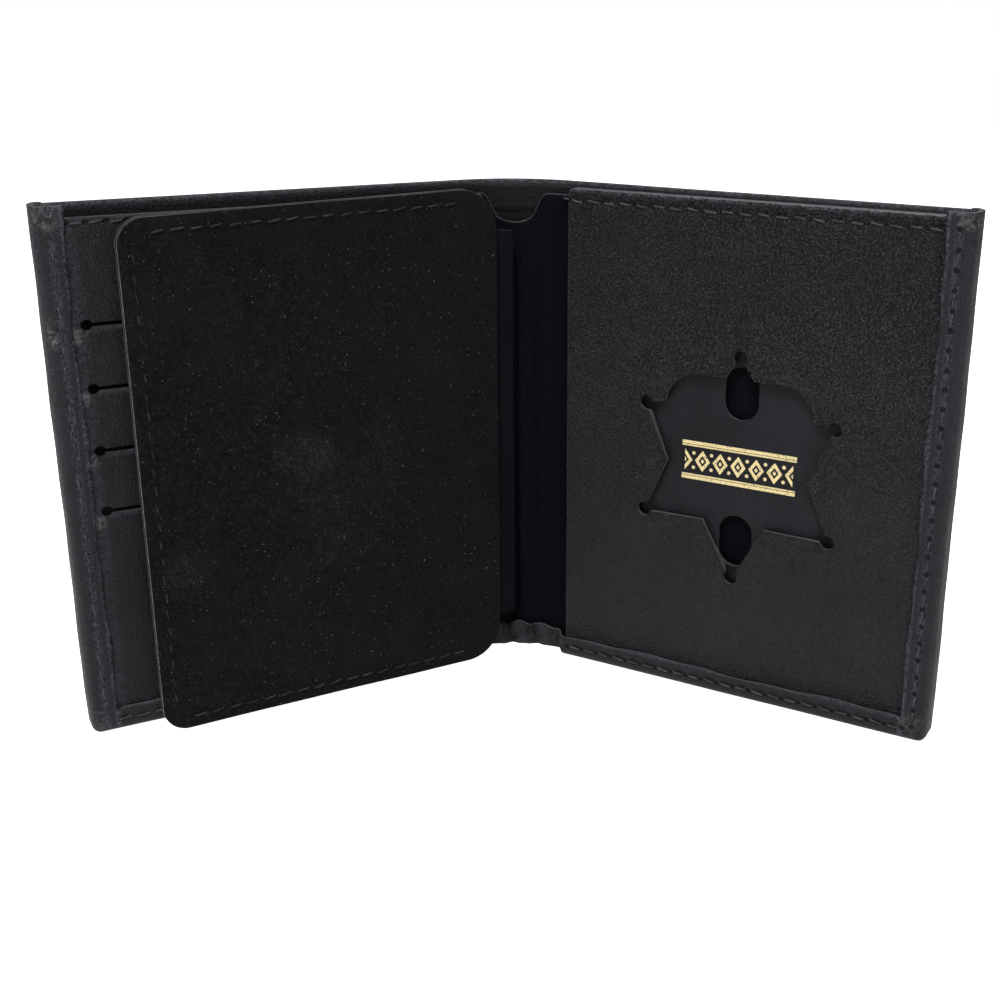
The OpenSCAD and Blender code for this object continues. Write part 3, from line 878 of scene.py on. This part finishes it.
def cover_wall():
    """The cover's back, up to its tightly turned top edge: a profile in z and n carried along s."""
    top, turn, thick, thin, lip_end = sizes().height, 1.05, sizes().cover_leather, 0.85, 7.0
    rows = top - (top - WALL_INSET) * np.linspace(0, 1, 96)
    rows = rows[rows < top - turn][::-1]
    half = np.radians(np.linspace(0, 180, 9))[1:]
    flat, lip = np.zeros(len(rows) + 1), np.zeros(5)
    z = np.concatenate([rows, [top - turn], top - turn + turn * np.sin(half),
                        np.linspace(top - turn, top - lip_end, 6)[1:]])
    n = OUTER_N + np.concatenate([flat, turn - turn * np.cos(half), lip + 2 * turn])
    out_z = np.concatenate([flat, np.sin(half), lip])
    out_n = np.concatenate([flat - 1, -np.cos(half), lip + 1])
    thickness = np.concatenate([flat + thick, np.linspace(thick, thin, 8), lip + thin])
    thickness[len(rows):len(rows) + 9] = np.minimum(thickness[len(rows):len(rows) + 9], 1.0)

    def shaped(z_line, n_line):
        """The profile carried along s, with the cover's unevenness added."""
        s, z = np.meshgrid((sizes().half_width - WALL_INSET) * along_shares(), z_line)
        return np.stack([s, n_line[:, None] + cover_lift(s, z), z], -1)

    outer = shaped(z, n)
    inner = shaped(z - thickness * out_z, n - thickness * out_n)
    return outer.reshape(-1, 3), inner.reshape(-1, 3), grid_quads(*outer.shape[:2])


def build_cover():
    """The outer cover: its back and its turned edges, welded into one sheet that crosses the spine."""
    wall, edge = cover_wall(), cover_edge()
    outer, inner = [np.concatenate([wall[k], edge[k]]) for k in (0, 1)]
    outer, inner, sets = welded(outer, inner, np.concatenate([wall[2], edge[2] + len(wall[0])]))
    scuffs = [(-101.8, 91.0, 1.7, 3.6, tint("scuff")), (-101.2, 89.0, 1.4, 3.0, (0.09, 0.09, 0.09)),
              (-100.5, 112.5, 4.0, 3.2, (0.07, 0.07, 0.072)), (101.0, 113.0, 3.0, 2.0, (0.07, 0.07, 0.072)),
              (-101.0, 1.5, 3.0, 4.0, (0.06, 0.06, 0.062)), (99.0, 4.5, 4.0, 3.0, (0.05, 0.05, 0.052))]
    width, hem = sizes().half_width, sizes().hem_width
    worn = [("up", width - hem, 1.0, 0.95, -4.0), ("along", hem, 0.6, 0.6, -4.0),
            ("up", side_seam(), 1.2, 0.7, -4.0), ("up", width, 1.2, 0.3), ("along", sizes().height, 1.0, 0.8)]
    seams = [("up", side_seam(), *HEM_SEAM), ("along", HEM_INSET, *low_seam())]
    # Painted shade on the inner face of the top hem, between the halves.
    top_hem_shade = ((-98.0, 98.0), (-9.2, -6.5), (105.0, 113.5))
    # The cover also gets the painted shade and highlights of the folds at the spine.
    skin = shared("leather_cover", leather, tint("leather"), tint("bloom", 0.64), pebble=0.5, depth=0.3,
                  gloss=0.42, scuffs=scuffs, worn=worn, runs=seams, dull=[top_hem_shade], gathered=True)
    make("outer_cover", *closed_sheet(outer, inner, sets, 0.18), slot="cover_leather",
         stands_for=("outer_cover_left", "outer_cover_right", "outer_cover_spine"),
         finishes=(skin, raw_edge()))


def build_lining():
    """The lining: a flat sheet inside the cover, in loose waves of two sines near the fold."""
    half, low, top = INNER_U - 0.3, INNER_Z + 0.2, 107.8
    s, z = np.meshgrid(np.linspace(-half, half, 150), np.linspace(low, top, 70))
    loose = np.exp(-(s / 9.0) ** 2)
    waves = loose * (0.35 + 0.3 * np.sin(s * 1.3 + z * 0.11) + 0.2 * np.sin(s * 2.4 - z * 0.2)) + 0.02
    piece = strip("bill_lining", s, z, (LINING_N + COVER_N) / 2, CLOTH, waves, slot="lining_fabric",
                  stands_for=("cover_lining_left", "cover_lining_right", "cover_lining_spine"),
                  finishes=(lining_cloth(),))


def build_divider():
    """The divider, whose top edge falls to a flared notch at the fold."""
    top, depth, notch = 112.0, 6.6, 6.2
    outside = np.linspace(7, INNER_U, 64)
    s = np.concatenate([-outside[::-1], np.linspace(-6.8, 6.8, 69), outside])
    open_by = np.clip((notch - np.abs(s)) / 3.2, 0, 1)
    fall = (depth - 0.12 * s ** 2) * open_by ** 2 * (3 - 2 * open_by)
    share = np.concatenate([np.linspace(0, 0.9, 50), np.linspace(0.9, 1, 12)[1:]])[:, None]
    z = INNER_Z + share * (top - fall - INNER_Z)[None, :]
    s = np.broadcast_to(s, z.shape)
    # Kept dark, partly as painted shade of the spine.
    skin = shared("leather_divider", leather, tint("divider"), tint("divider", 2.0), pebble=0.7, depth=0.25,
                  gloss=0.5, shine=0.05, creases=0.25)
    strip("inner_divider", s, z, (DIVIDER_N + GAP_N) / 2 - 0.05, thick=0.68, waves=divider_lift(s, z),
          slot="divider_leather", stands_for=("divider_left", "divider_right", "divider_spine"),
          finishes=(skin, raw_edge()))


# Card side

def within_hems(rise, u, z):
    """The facing's rise, levelled off where the turned edges lie on it."""
    return rise * np.clip(np.minimum(INNER_U - 5 - u, z - 6.0) / 4, 0, 1) - 0.03


def card_relief(u, z):
    """The facing's unevenness, a lip below each slit that the cards have pushed out, and a dent above it."""
    rise, lip, dent = ripple(u, z, 0.05, 1.0) - 0.08, 0.28, 0.14
    for slit in SLITS:
        ends = np.clip(np.minimum(u - SLIT_ENDS[0], SLIT_ENDS[1] - u) / 6, 0, 1)
        rise = rise + lip * ends * np.exp(-((z - slit + 1.1) / 1.0) ** 2) * (z < slit)
        rise = rise - dent * ends * np.exp(-((z - slit - 0.9) / 0.9) ** 2) * (z > slit)
    return within_hems(rise, u, z)


def build_card_side():
    """The card facing cut by its slits, and a ply behind each, sagging by a product of two sines."""
    u0, top = CARD_FACING
    outline = frame_outline((u0, INNER_Z), (INNER_U, top), (0.3, 0.3, 0.3, 1.5))
    seam = ("along", top - CARD_TOP_INSET, u0 + 2, TOP_SEAM_END)
    scuffs = [(97.0, slit - 2.2, 3.0, 2.2, (0.09, 0.09, 0.094)) for slit in SLITS]
    # Pale bands just below the slits: painted highlights on the lips that the cards push out.
    lips = [("along", slit - 0.9, 0.9, 0.35) for slit in SLITS]
    face = shared("leather_card_facing", leather, tint("leather", 0.8), tint("bloom", 0.6), pebble=0.42,
                  depth=0.2, gloss=0.33, shine=0.19, sparkle=0.3, runs=[seam], scuffs=scuffs,
                  worn=[("up", 96.0, 2.2, 0.3), ("along", top, 0.9, 0.35)] + lips)
    dyed = shared("leather_dyed_edge", leather, tint("leather", 0.6), tint("leather"), pebble=0.3, depth=0.3,
                  gloss=0.5, shine=0.2)
    plate("card_facing_leather", [outline] + [slit_outline(z) for z in SLITS], FACING_N, thick=1.05,
          side="card", step=1.5, relief=card_relief, lips=(0.5, 0.9, 1.4, 2.0), slot="facing_leather",
          stands_for=("card_facing",), finishes=(face, dyed))
    above_slit, lift = 4, 0.18
    for k, slit in enumerate(SLITS):
        u, z = np.meshgrid(np.linspace(CREASE_U, INNER_U, 50), np.linspace(INNER_Z, slit + above_slit, 40))
        sag = 0.05 * np.sin(u * 0.09 + k) * np.sin(z * 0.07) * (0.5 if k == 0 else 1.0) + 0.02
        ply = strip(f"pocket_ply_{k + 1}", u, z, DIVIDER_N + PLY_STEP * k + lift, thick=CLOTH, waves=sag,
                    side="card", slot="lining_fabric", stands_for=(f"card_pocket_ply_{k + 1}",),
                    finishes=(lining_cloth(),))


# Badge side

def badge_relief(u, z):
    """The facing's unevenness, dipping a little towards the recess."""
    away = np.hypot(u - sizes().star_u, z - sizes().star_z)
    return within_hems(ripple(u, z, 0.06, 2.0) - 0.12 * np.exp(-((away - 20) / 9) ** 2), u, z)


def build_badge_side():
    """The badge facing and its board, cut out to the star, and the backing with its clip holes."""
    u0, top = BADGE_FACING
    outline = frame_outline((u0, INNER_Z), (INNER_U, top), (0.3, 0.3, 0.3, 1.2))
    face = shared("leather_badge_facing", leather, tint("leather", 0.8), tint("bloom", 0.98), pebble=0.43,
                  depth=1.0, gloss=0.3, shine=0.27, sparkle=1.0,
                  runs=[("along", top - TOP_INSET, u0, TOP_SEAM_END)],
                  worn=[("along", top, 0.9, 0.8), ("up", u0, 0.6, 0.3)])
    plate("badge_facing_leather", [outline, star_outline()], FACING_N, thick=1.08, side="badge", step=1.6,
          relief=badge_relief, lips=(0.6, 1.2), slot="facing_leather", stands_for=("badge_facing",),
          finishes=(face, raw_edge()))
    plate("recess_board_sheet", [outline, star_outline(grow=0.4)], CORE_N - 0.02, thick=0.86, side="badge",
          step=4.0, edge=0.08, slot="board", stands_for=("recess_board",), finishes=(raw_edge(), raw_edge()))
    holes = [oblong_outline((sizes().star_u, sizes().star_z + off), width=8.0, height=12.0)
             for off in (CLIP_OFF, -CLIP_OFF)]
    plate("badge_backing_leather", [outline] + holes, CORE_N - 0.92, thick=0.86, side="badge", step=1.8,
          relief=lambda u, z: ripple(u, z, 0.04, 4.0) - 0.04, slot="facing_leather",
          stands_for=("badge_backing",),
          finishes=(shared("leather_backing_stamped", stamped_leather), raw_edge()))


# Flap

def hanging(points):
    """The flap's outline as it hangs: a little taller at its root, and a little sunk at its free edge."""
    u, z = np.moveaxis(np.asarray(points, float), -1, 0)
    out = np.clip((u - FLAP_ROOT) / (sizes().flap_width - FLAP_ROOT), 0, 1)
    middle = (FLAP_Z[0] + FLAP_Z[1]) / 2
    return np.stack([u, z + (z - middle) / middle * (1 - out) - 0.5 * out], -1)


def flap_relief(u, z):
    """The flap's soft set: bowed along its height, its free lower corner lifted a little."""
    across = np.clip((u - FLAP_ROOT) / 82.0, 0, 1)
    up = (z - FLAP_Z[0]) / (FLAP_Z[1] - FLAP_Z[0])
    return 0.35 * np.sin(np.pi * up) * across + 0.45 * across ** 3 * (1 - up) ** 3 + ripple(u, z, 0.1, 5.0)


def build_flap():
    """The flap's suede, the window frame and film behind it, and the strip that ties it to the fold."""
    reach, leather_ply = sizes().flap_width, 0.8

    def window(border):
        """An opening that leaves a border of that width round it."""
        low, high = (FLAP_ROOT + border, FLAP_Z[0] + border), (reach - border, FLAP_Z[1] - border)
        return hanging(frame_outline(low, high, (4.0,) * 4))

    outline = frame_outline((FLAP_ROOT, FLAP_Z[0]), (reach, FLAP_Z[1]), FLAP_CORNERS)
    plate("flap_suede", [hanging(outline)], FLAP_FRONT, thick=1.0, side="flap", edge=0.3,
          relief=flap_relief, slot="suede", stands_for=("flap_suede_ply",),
          finishes=(shared("suede_flap", suede), shared("suede_edge", suede_edge)))
    low, high = FLAP_Z[0] + FLAP_CORNERS[0], FLAP_Z[1] - FLAP_CORNERS[3]
    tongue = [(FLAP_ROOT, high), (FLAP_ROOT - 1.5, high - 0.6), (0.0, high - 1.0), (0.0, low + 1.0),
              (FLAP_ROOT - 1.5, low + 0.6), (FLAP_ROOT, low)]
    shape = np.concatenate([outline[outline[:, 0] > FLAP_ROOT + 0.01], tongue])
    # Painted shade: the tongue by the fold, where the flap shades it, is darkened towards the divider's tone
    # and made rougher.
    back = shared("leather_flap_back", leather, tint("leather"), tint("bloom"), pebble=0.75, depth=0.15,
                  gloss=0.45, shine=0.07, dull=[((-9.0, 7.0), (-9.0, 9.0), (-9.0, 130.0))])
    plate("flap_window_frame", [hanging(shape), window(border=11)[::-1]], WINDOW_BACK + leather_ply,
          thick=leather_ply, side="flap", step=1.9, edge=0.18, relief=flap_relief, slot="divider_leather",
          stands_for=("flap_window_ply",), finishes=(back, raw_edge()))
    plate("flap_window_film", [window(border=8)], WINDOW_BACK + 1.05, thick=0.24, side="flap", step=2.5,
          edge=0.06, relief=lambda u, z: flap_relief(u, z) + ripple(u, z, 0.03, 7.0, 2.0), slot="clear_film",
          stands_for=("id_window",), finishes=(shared("vinyl_clear", clear_film),))
    near, far, half_thick = 1.6, 3.75, 0.35
    z, across = np.meshgrid(np.linspace(low + 0.5, high - 7.5, 40), np.linspace(near, far, 5), indexing="ij")
    slack = 0.25 * np.sin(z * 0.2) * np.sin((across - near) / (far - near) * np.pi)
    faces = [np.stack([slack + x, across, z], -1).reshape(-1, 3) for x in (half_thick, -half_thick)]
    local, skin, rim = closed_sheet(*faces, [grid_quads(*z.shape)], 0.2)
    # The tape takes the divider's dark colour, partly painted shade of the spine.
    tape = shared("leather_tape", leather, tint("divider"), tint("divider", 2.0), gloss=0.6, shine=0.02)
    make("flap_hinge", local, skin, rim, placed=(local + (0, FOLD_Y, 0)) * MM, slot="lining_fabric",
         stands_for=("flap_hinge_tape",), finishes=(tape,))


# Stitching

def thread_run(start, end, level, lift, seed, out=1):
    """A row of stitches from start to end in (u, z), on the surface at the level plus lift(u, z).

    Each stitch is a tube round a low hump that dives under the surface at both ends, where the
    tube closes in a point. Sines of its number lengthen, lean and shift each one a little.
    out is 1 on the inner side of the wallet and -1 on its back.
    """
    size, rows, corners = sizes(), 9, 6
    start, end = np.array(start, float), np.array(end, float)
    run = np.linalg.norm(end - start)
    along = (end - start) / run
    count, first = stitch_row(0, run)
    number = np.arange(count)[:, None, None]
    t = np.linspace(-1, 1, rows)[None, :, None]
    around = np.linspace(0, 2 * np.pi, corners + 1)[None, None, :-1]
    radius = size.thread / 2 * np.sqrt(1 - t ** 6)
    go = t * size.stitch / 2 * (1 + 0.06 * np.sin(number * 2.7 + seed))
    lean = -0.12 + 0.06 * np.sin(number * 1.9 + seed * 2)
    across = go * np.tan(lean) + 0.09 * np.sin(number * 3.1 + seed) + radius * np.cos(around)
    height = size.thread * (0.42 - 0.75 * t ** 4) + radius * np.sin(around)
    line = first + (number + 0.5) * size.pitch + go
    u = start[0] + line * along[0] - across * along[1]
    z = start[1] + line * along[1] + across * along[0]
    rings = np.stack(np.broadcast_arrays(u, level + out * height + lift(u, z), z), -1)
    tube = np.concatenate([rings[:, 0, :1], rings[:, 1:-1].reshape(count, -1, 3), rings[:, -1, :1]], 1)
    here, last = np.arange(corners), tube.shape[1] - 1
    following = (here + 1) % corners
    walls = grid_quads(rows - 2, corners, 1, True)
    caps = np.concatenate([np.stack([0 * here, 1 + following, 1 + here], 1),
                           np.stack([last + 0 * here, last - corners + here, last - corners + following], 1)])
    if out < 0:
        walls, caps = walls[:, ::-1], caps[:, ::-1]
    shift = (np.arange(count) * tube.shape[1])[:, None, None]
    return tube.reshape(-1, 3), (walls + shift).reshape(-1, 4), (caps + shift).reshape(-1, 3)


def thread_piece(name, side, runs):
    """All stitches of one side as one piece."""
    parts = [thread_run(*run) for run in runs]
    base = np.concatenate([[0], np.cumsum([len(part[0]) for part in parts])])
    local = np.concatenate([part[0] for part in parts])
    skin = [np.concatenate([part[k] + first for part, first in zip(parts, base)]) for k in (1, 2)]
    if side == "flap":
        thread = shared("thread_dusty", waxed_thread, tint("thread", 0.75), 0.14)
    else:
        thread = shared("thread_waxed", waxed_thread, tint("thread", 1.3), 0.35)
    make(name.replace("stitching", "thread"), local, skin, side=side, slot="thread", stands_for=(name,),
         finishes=(thread,))


def build_stitching():
    """The rows round each half, front and back, along the facings' tops, and round the flap."""
    along, upward = [(u, HEM_INSET) for u in low_seam()], [(side_seam(), z) for z in HEM_SEAM]
    on_hem, on_back, on_facing = HEM_N - 0.15, OUTER_N + 0.05, FACING_N - 0.08
    edges = [(*along, on_hem, 1, 1), (*upward, on_hem, 2, 1),
             (*along, on_back, 3, -1), (*upward, on_back, 4, -1)]
    card_top, badge_top = CARD_FACING[1] - CARD_TOP_INSET, BADGE_FACING[1] - TOP_INSET
    across_top = {
        "card": [((CARD_FACING[0] + 2, card_top), (TOP_SEAM_END, card_top), on_facing, card_relief, 9)],
        "badge": [((BADGE_FACING[0], badge_top), (TOP_SEAM_END, badge_top), on_facing, badge_relief, 5),
                  ((CREASE_U - 0.4, badge_top - 0.3), (BADGE_FACING[0], badge_top), DIVIDER_N - 0.05,
                   divider_lift, 6)],
    }
    for name, side, sign in (("stitching_left", "card", -1), ("stitching_right", "badge", 1)):
        runs = [(start, end, level, lambda u, z: cover_lift(sign * u, z), seed - sign, out)
                for start, end, level, seed, out in edges]
        thread_piece(name, side, runs + across_top[side])
    low, high, end = FLAP_Z[0] + FLAP_INSET, FLAP_Z[1] - FLAP_INSET, sizes().flap_width - FLAP_INSET
    root, short, front = FLAP_ROOT + 9, 2.7, FLAP_FRONT - 0.08
    runs = [((root, high), (end - short, high), front, flap_relief, 6),
            ((root, low), (end - short, low), front, flap_relief, 7),
            ((end, low + short), (end, high - short), front - 0.23, flap_relief, 8)]
    thread_piece("stitching_flap", "flap", [(hanging(a), hanging(b), *rest) for a, b, *rest in runs])


# Stage

def stand(name, data, spot, ahead, right):
    """Adds a lamp or camera at the spot. It looks ahead, and right is square to that."""
    thing = bpy.data.objects.new(name, data)
    bpy.context.scene.collection.objects.link(thing)
    columns = right, np.cross(right, ahead), -ahead, spot
    thing.matrix_world = Matrix([[column[k] for column in columns] for k in range(3)] + [[0, 0, 0, 1]])
    return thing


def build_stage():
    """A pale floor, a room that is white to the camera and dim to all else, and four round lamps."""
    settings = bpy.context.scene.wallet_stage
    half = 1.6
    corners = [(-half, -half, 0), (half, -half, 0), (half, half, 0), (-half, half, 0)]
    mesh = bpy.data.meshes.new("floor")
    mesh.from_pydata(corners, [], [(0, 1, 2, 3)])
    floor = bpy.data.objects.new("floor", mesh)
    bpy.context.scene.collection.objects.link(floor)
    tree = Finish("floor_pale")
    seen, through, mirrored = [tree.node("ShaderNodeLightPath", output=f"Is {kind} Ray")
                               for kind in ("Camera", "Transmission", "Glossy")]
    shown = seen.most(through).most(mirrored * 0.3)
    tree.surface(Base_Color=(*settings.floor, 1.0), Roughness=0.9, Specular_IOR_Level=0.1,
                 Emission_Color=tree.mixed(shown, (0.0, 0.0, 0.0), (1.0, 1.0, 1.0)), Emission_Strength=0.97)
    mesh.materials.append(tree.material)
    world = bpy.data.worlds.new("room")
    bpy.context.scene.world = world
    world.use_nodes = True
    nodes, links = world.node_tree.nodes, world.node_tree.links
    nodes.clear()
    path, ray = nodes.new("ShaderNodeLightPath"), nodes.new("ShaderNodeMath")
    ray.operation = "MULTIPLY_ADD"
    ray.inputs[1].default_value = 1 - settings.sky
    ray.inputs[2].default_value = settings.sky
    shade, out = nodes.new("ShaderNodeBackground"), nodes.new("ShaderNodeOutputWorld")
    shade.inputs["Color"].default_value = (1, 1, 1, 1)
    links.new(path.outputs["Is Camera Ray"], ray.inputs[0])
    links.new(ray.outputs[0], shade.inputs["Strength"])
    links.new(shade.outputs[0], out.inputs["Surface"])
    lamps = (("lamp_key", (-0.1, -0.4, 0.8), 0.2, 1.0), ("lamp_front", (0.3, -0.8, 0.4), 0.5, 0.3),
             ("lamp_left", (-0.6, -0.4, 0.5), 0.4, 0.2), ("lamp_back", (0.25, 0.8, 0.6), 0.4, 0.7))
    for name, spot, size, share in lamps:
        light = bpy.data.lights.new(name, "AREA")
        light.shape, light.size, light.energy = "DISK", size, settings.lamp * share
        aim = np.array([0.0, 0.0, 0.05]) - spot
        aim /= np.linalg.norm(aim)
        right = np.cross(aim, (0, 0, 1.0))
        stand(name, light, spot, aim, right / np.linalg.norm(right))
    build_camera()


def build_camera():
    """The photograph's view: a camera 319 mm before the fold, 152 mm up, looking down 19.5 degrees."""
    yaw, pitch, roll = (math.radians(v) for v in (-0.735, 19.48, 0.268))
    before, aside, up_by, focal = 318.7, 10.7, 152.2, 1398.0
    ahead = np.array([math.sin(yaw), math.cos(yaw), 0])
    right = np.array([math.cos(yaw), -math.sin(yaw), 0])
    forward = ahead * math.cos(pitch) - np.array([0, 0, math.sin(pitch)])
    side = right * math.cos(roll) + np.cross(right, forward) * math.sin(roll)
    spot = (-before * ahead + aside * right + np.array([0, FOLD_Y, up_by])) * MM
    data = bpy.data.cameras.new("camera")
    data.sensor_width = 36.0
    data.lens = data.sensor_width * focal / 1000
    data.shift_x = -0.06
    data.clip_start, data.clip_end = 0.01, 20
    bpy.context.scene.camera = stand("camera", data, spot, forward, side)
    bpy.context.scene.view_settings.view_transform = "Standard"


class WALLET_OT_cover(bpy.types.Operator):
    """Build the outer cover with its turned edges"""
    bl_idname = "wallet.cover"
    bl_label = "Outer cover"

    def execute(self, context):
        build_cover()
        return {"FINISHED"}


class WALLET_OT_compartment(bpy.types.Operator):
    """Build the bill compartment's lining and divider"""
    bl_idname = "wallet.compartment"
    bl_label = "Bill compartment"

    def execute(self, context):
        build_lining()
        build_divider()
        return {"FINISHED"}


class WALLET_OT_card_side(bpy.types.Operator):
    """Build the card facing and its pocket plies"""
    bl_idname = "wallet.card_side"
    bl_label = "Card side"

    def execute(self, context):
        build_card_side()
        return {"FINISHED"}


class WALLET_OT_badge_side(bpy.types.Operator):
    """Build the badge facing, recess board and backing"""
    bl_idname = "wallet.badge_side"
    bl_label = "Badge side"

    def execute(self, context):
        build_badge_side()
        return {"FINISHED"}


class WALLET_OT_flap(bpy.types.Operator):
    """Build the ID flap"""
    bl_idname = "wallet.flap"
    bl_label = "ID flap"

    def execute(self, context):
        build_flap()
        return {"FINISHED"}


class WALLET_OT_stitching(bpy.types.Operator):
    """Build the three groups of stitches"""
    bl_idname = "wallet.stitching"
    bl_label = "Stitching"

    def execute(self, context):
        build_stitching()
        return {"FINISHED"}


class WALLET_OT_stage(bpy.types.Operator):
    """Build the floor, lamps and camera"""
    bl_idname = "wallet.stage"
    bl_label = "Stage"

    def execute(self, context):
        build_stage()
        return {"FINISHED"}


STEPS = (WALLET_OT_cover, WALLET_OT_compartment, WALLET_OT_card_side, WALLET_OT_badge_side, WALLET_OT_flap,
         WALLET_OT_stitching, WALLET_OT_stage)


class WALLET_PT_build(bpy.types.Panel):
    """Lists the wallet's sizes, colours and build steps"""
    bl_idname = "WALLET_PT_build"
    bl_label = "Folding badge wallet"
    bl_space_type = "VIEW_3D"
    bl_region_type = "UI"
    bl_category = "Wallet"

    def draw(self, context):
        for group in (context.scene.wallet_sizes, context.scene.wallet_finish, context.scene.wallet_stage):
            box = self.layout.box()
            for key in group.__annotations__:
                box.prop(group, key)
        for step in STEPS:
            self.layout.operator(step.bl_idname)


CLASSES = (WalletSizes, WalletFinish, WalletStage) + STEPS + (WALLET_PT_build,)


def register():
    for item in CLASSES:
        bpy.utils.register_class(item)
    bpy.types.Scene.wallet_sizes = PointerProperty(type=WalletSizes)
    bpy.types.Scene.wallet_finish = PointerProperty(type=WalletFinish)
    bpy.types.Scene.wallet_stage = PointerProperty(type=WalletStage)


def unregister():
    del bpy.types.Scene.wallet_stage
    del bpy.types.Scene.wallet_finish
    del bpy.types.Scene.wallet_sizes
    for item in reversed(CLASSES):
        bpy.utils.unregister_class(item)


def main():
    register()
    for step in STEPS:
        group, name = step.bl_idname.split(".")
        getattr(getattr(bpy.ops, group), name)()


if __name__ == "__main__":
    main()
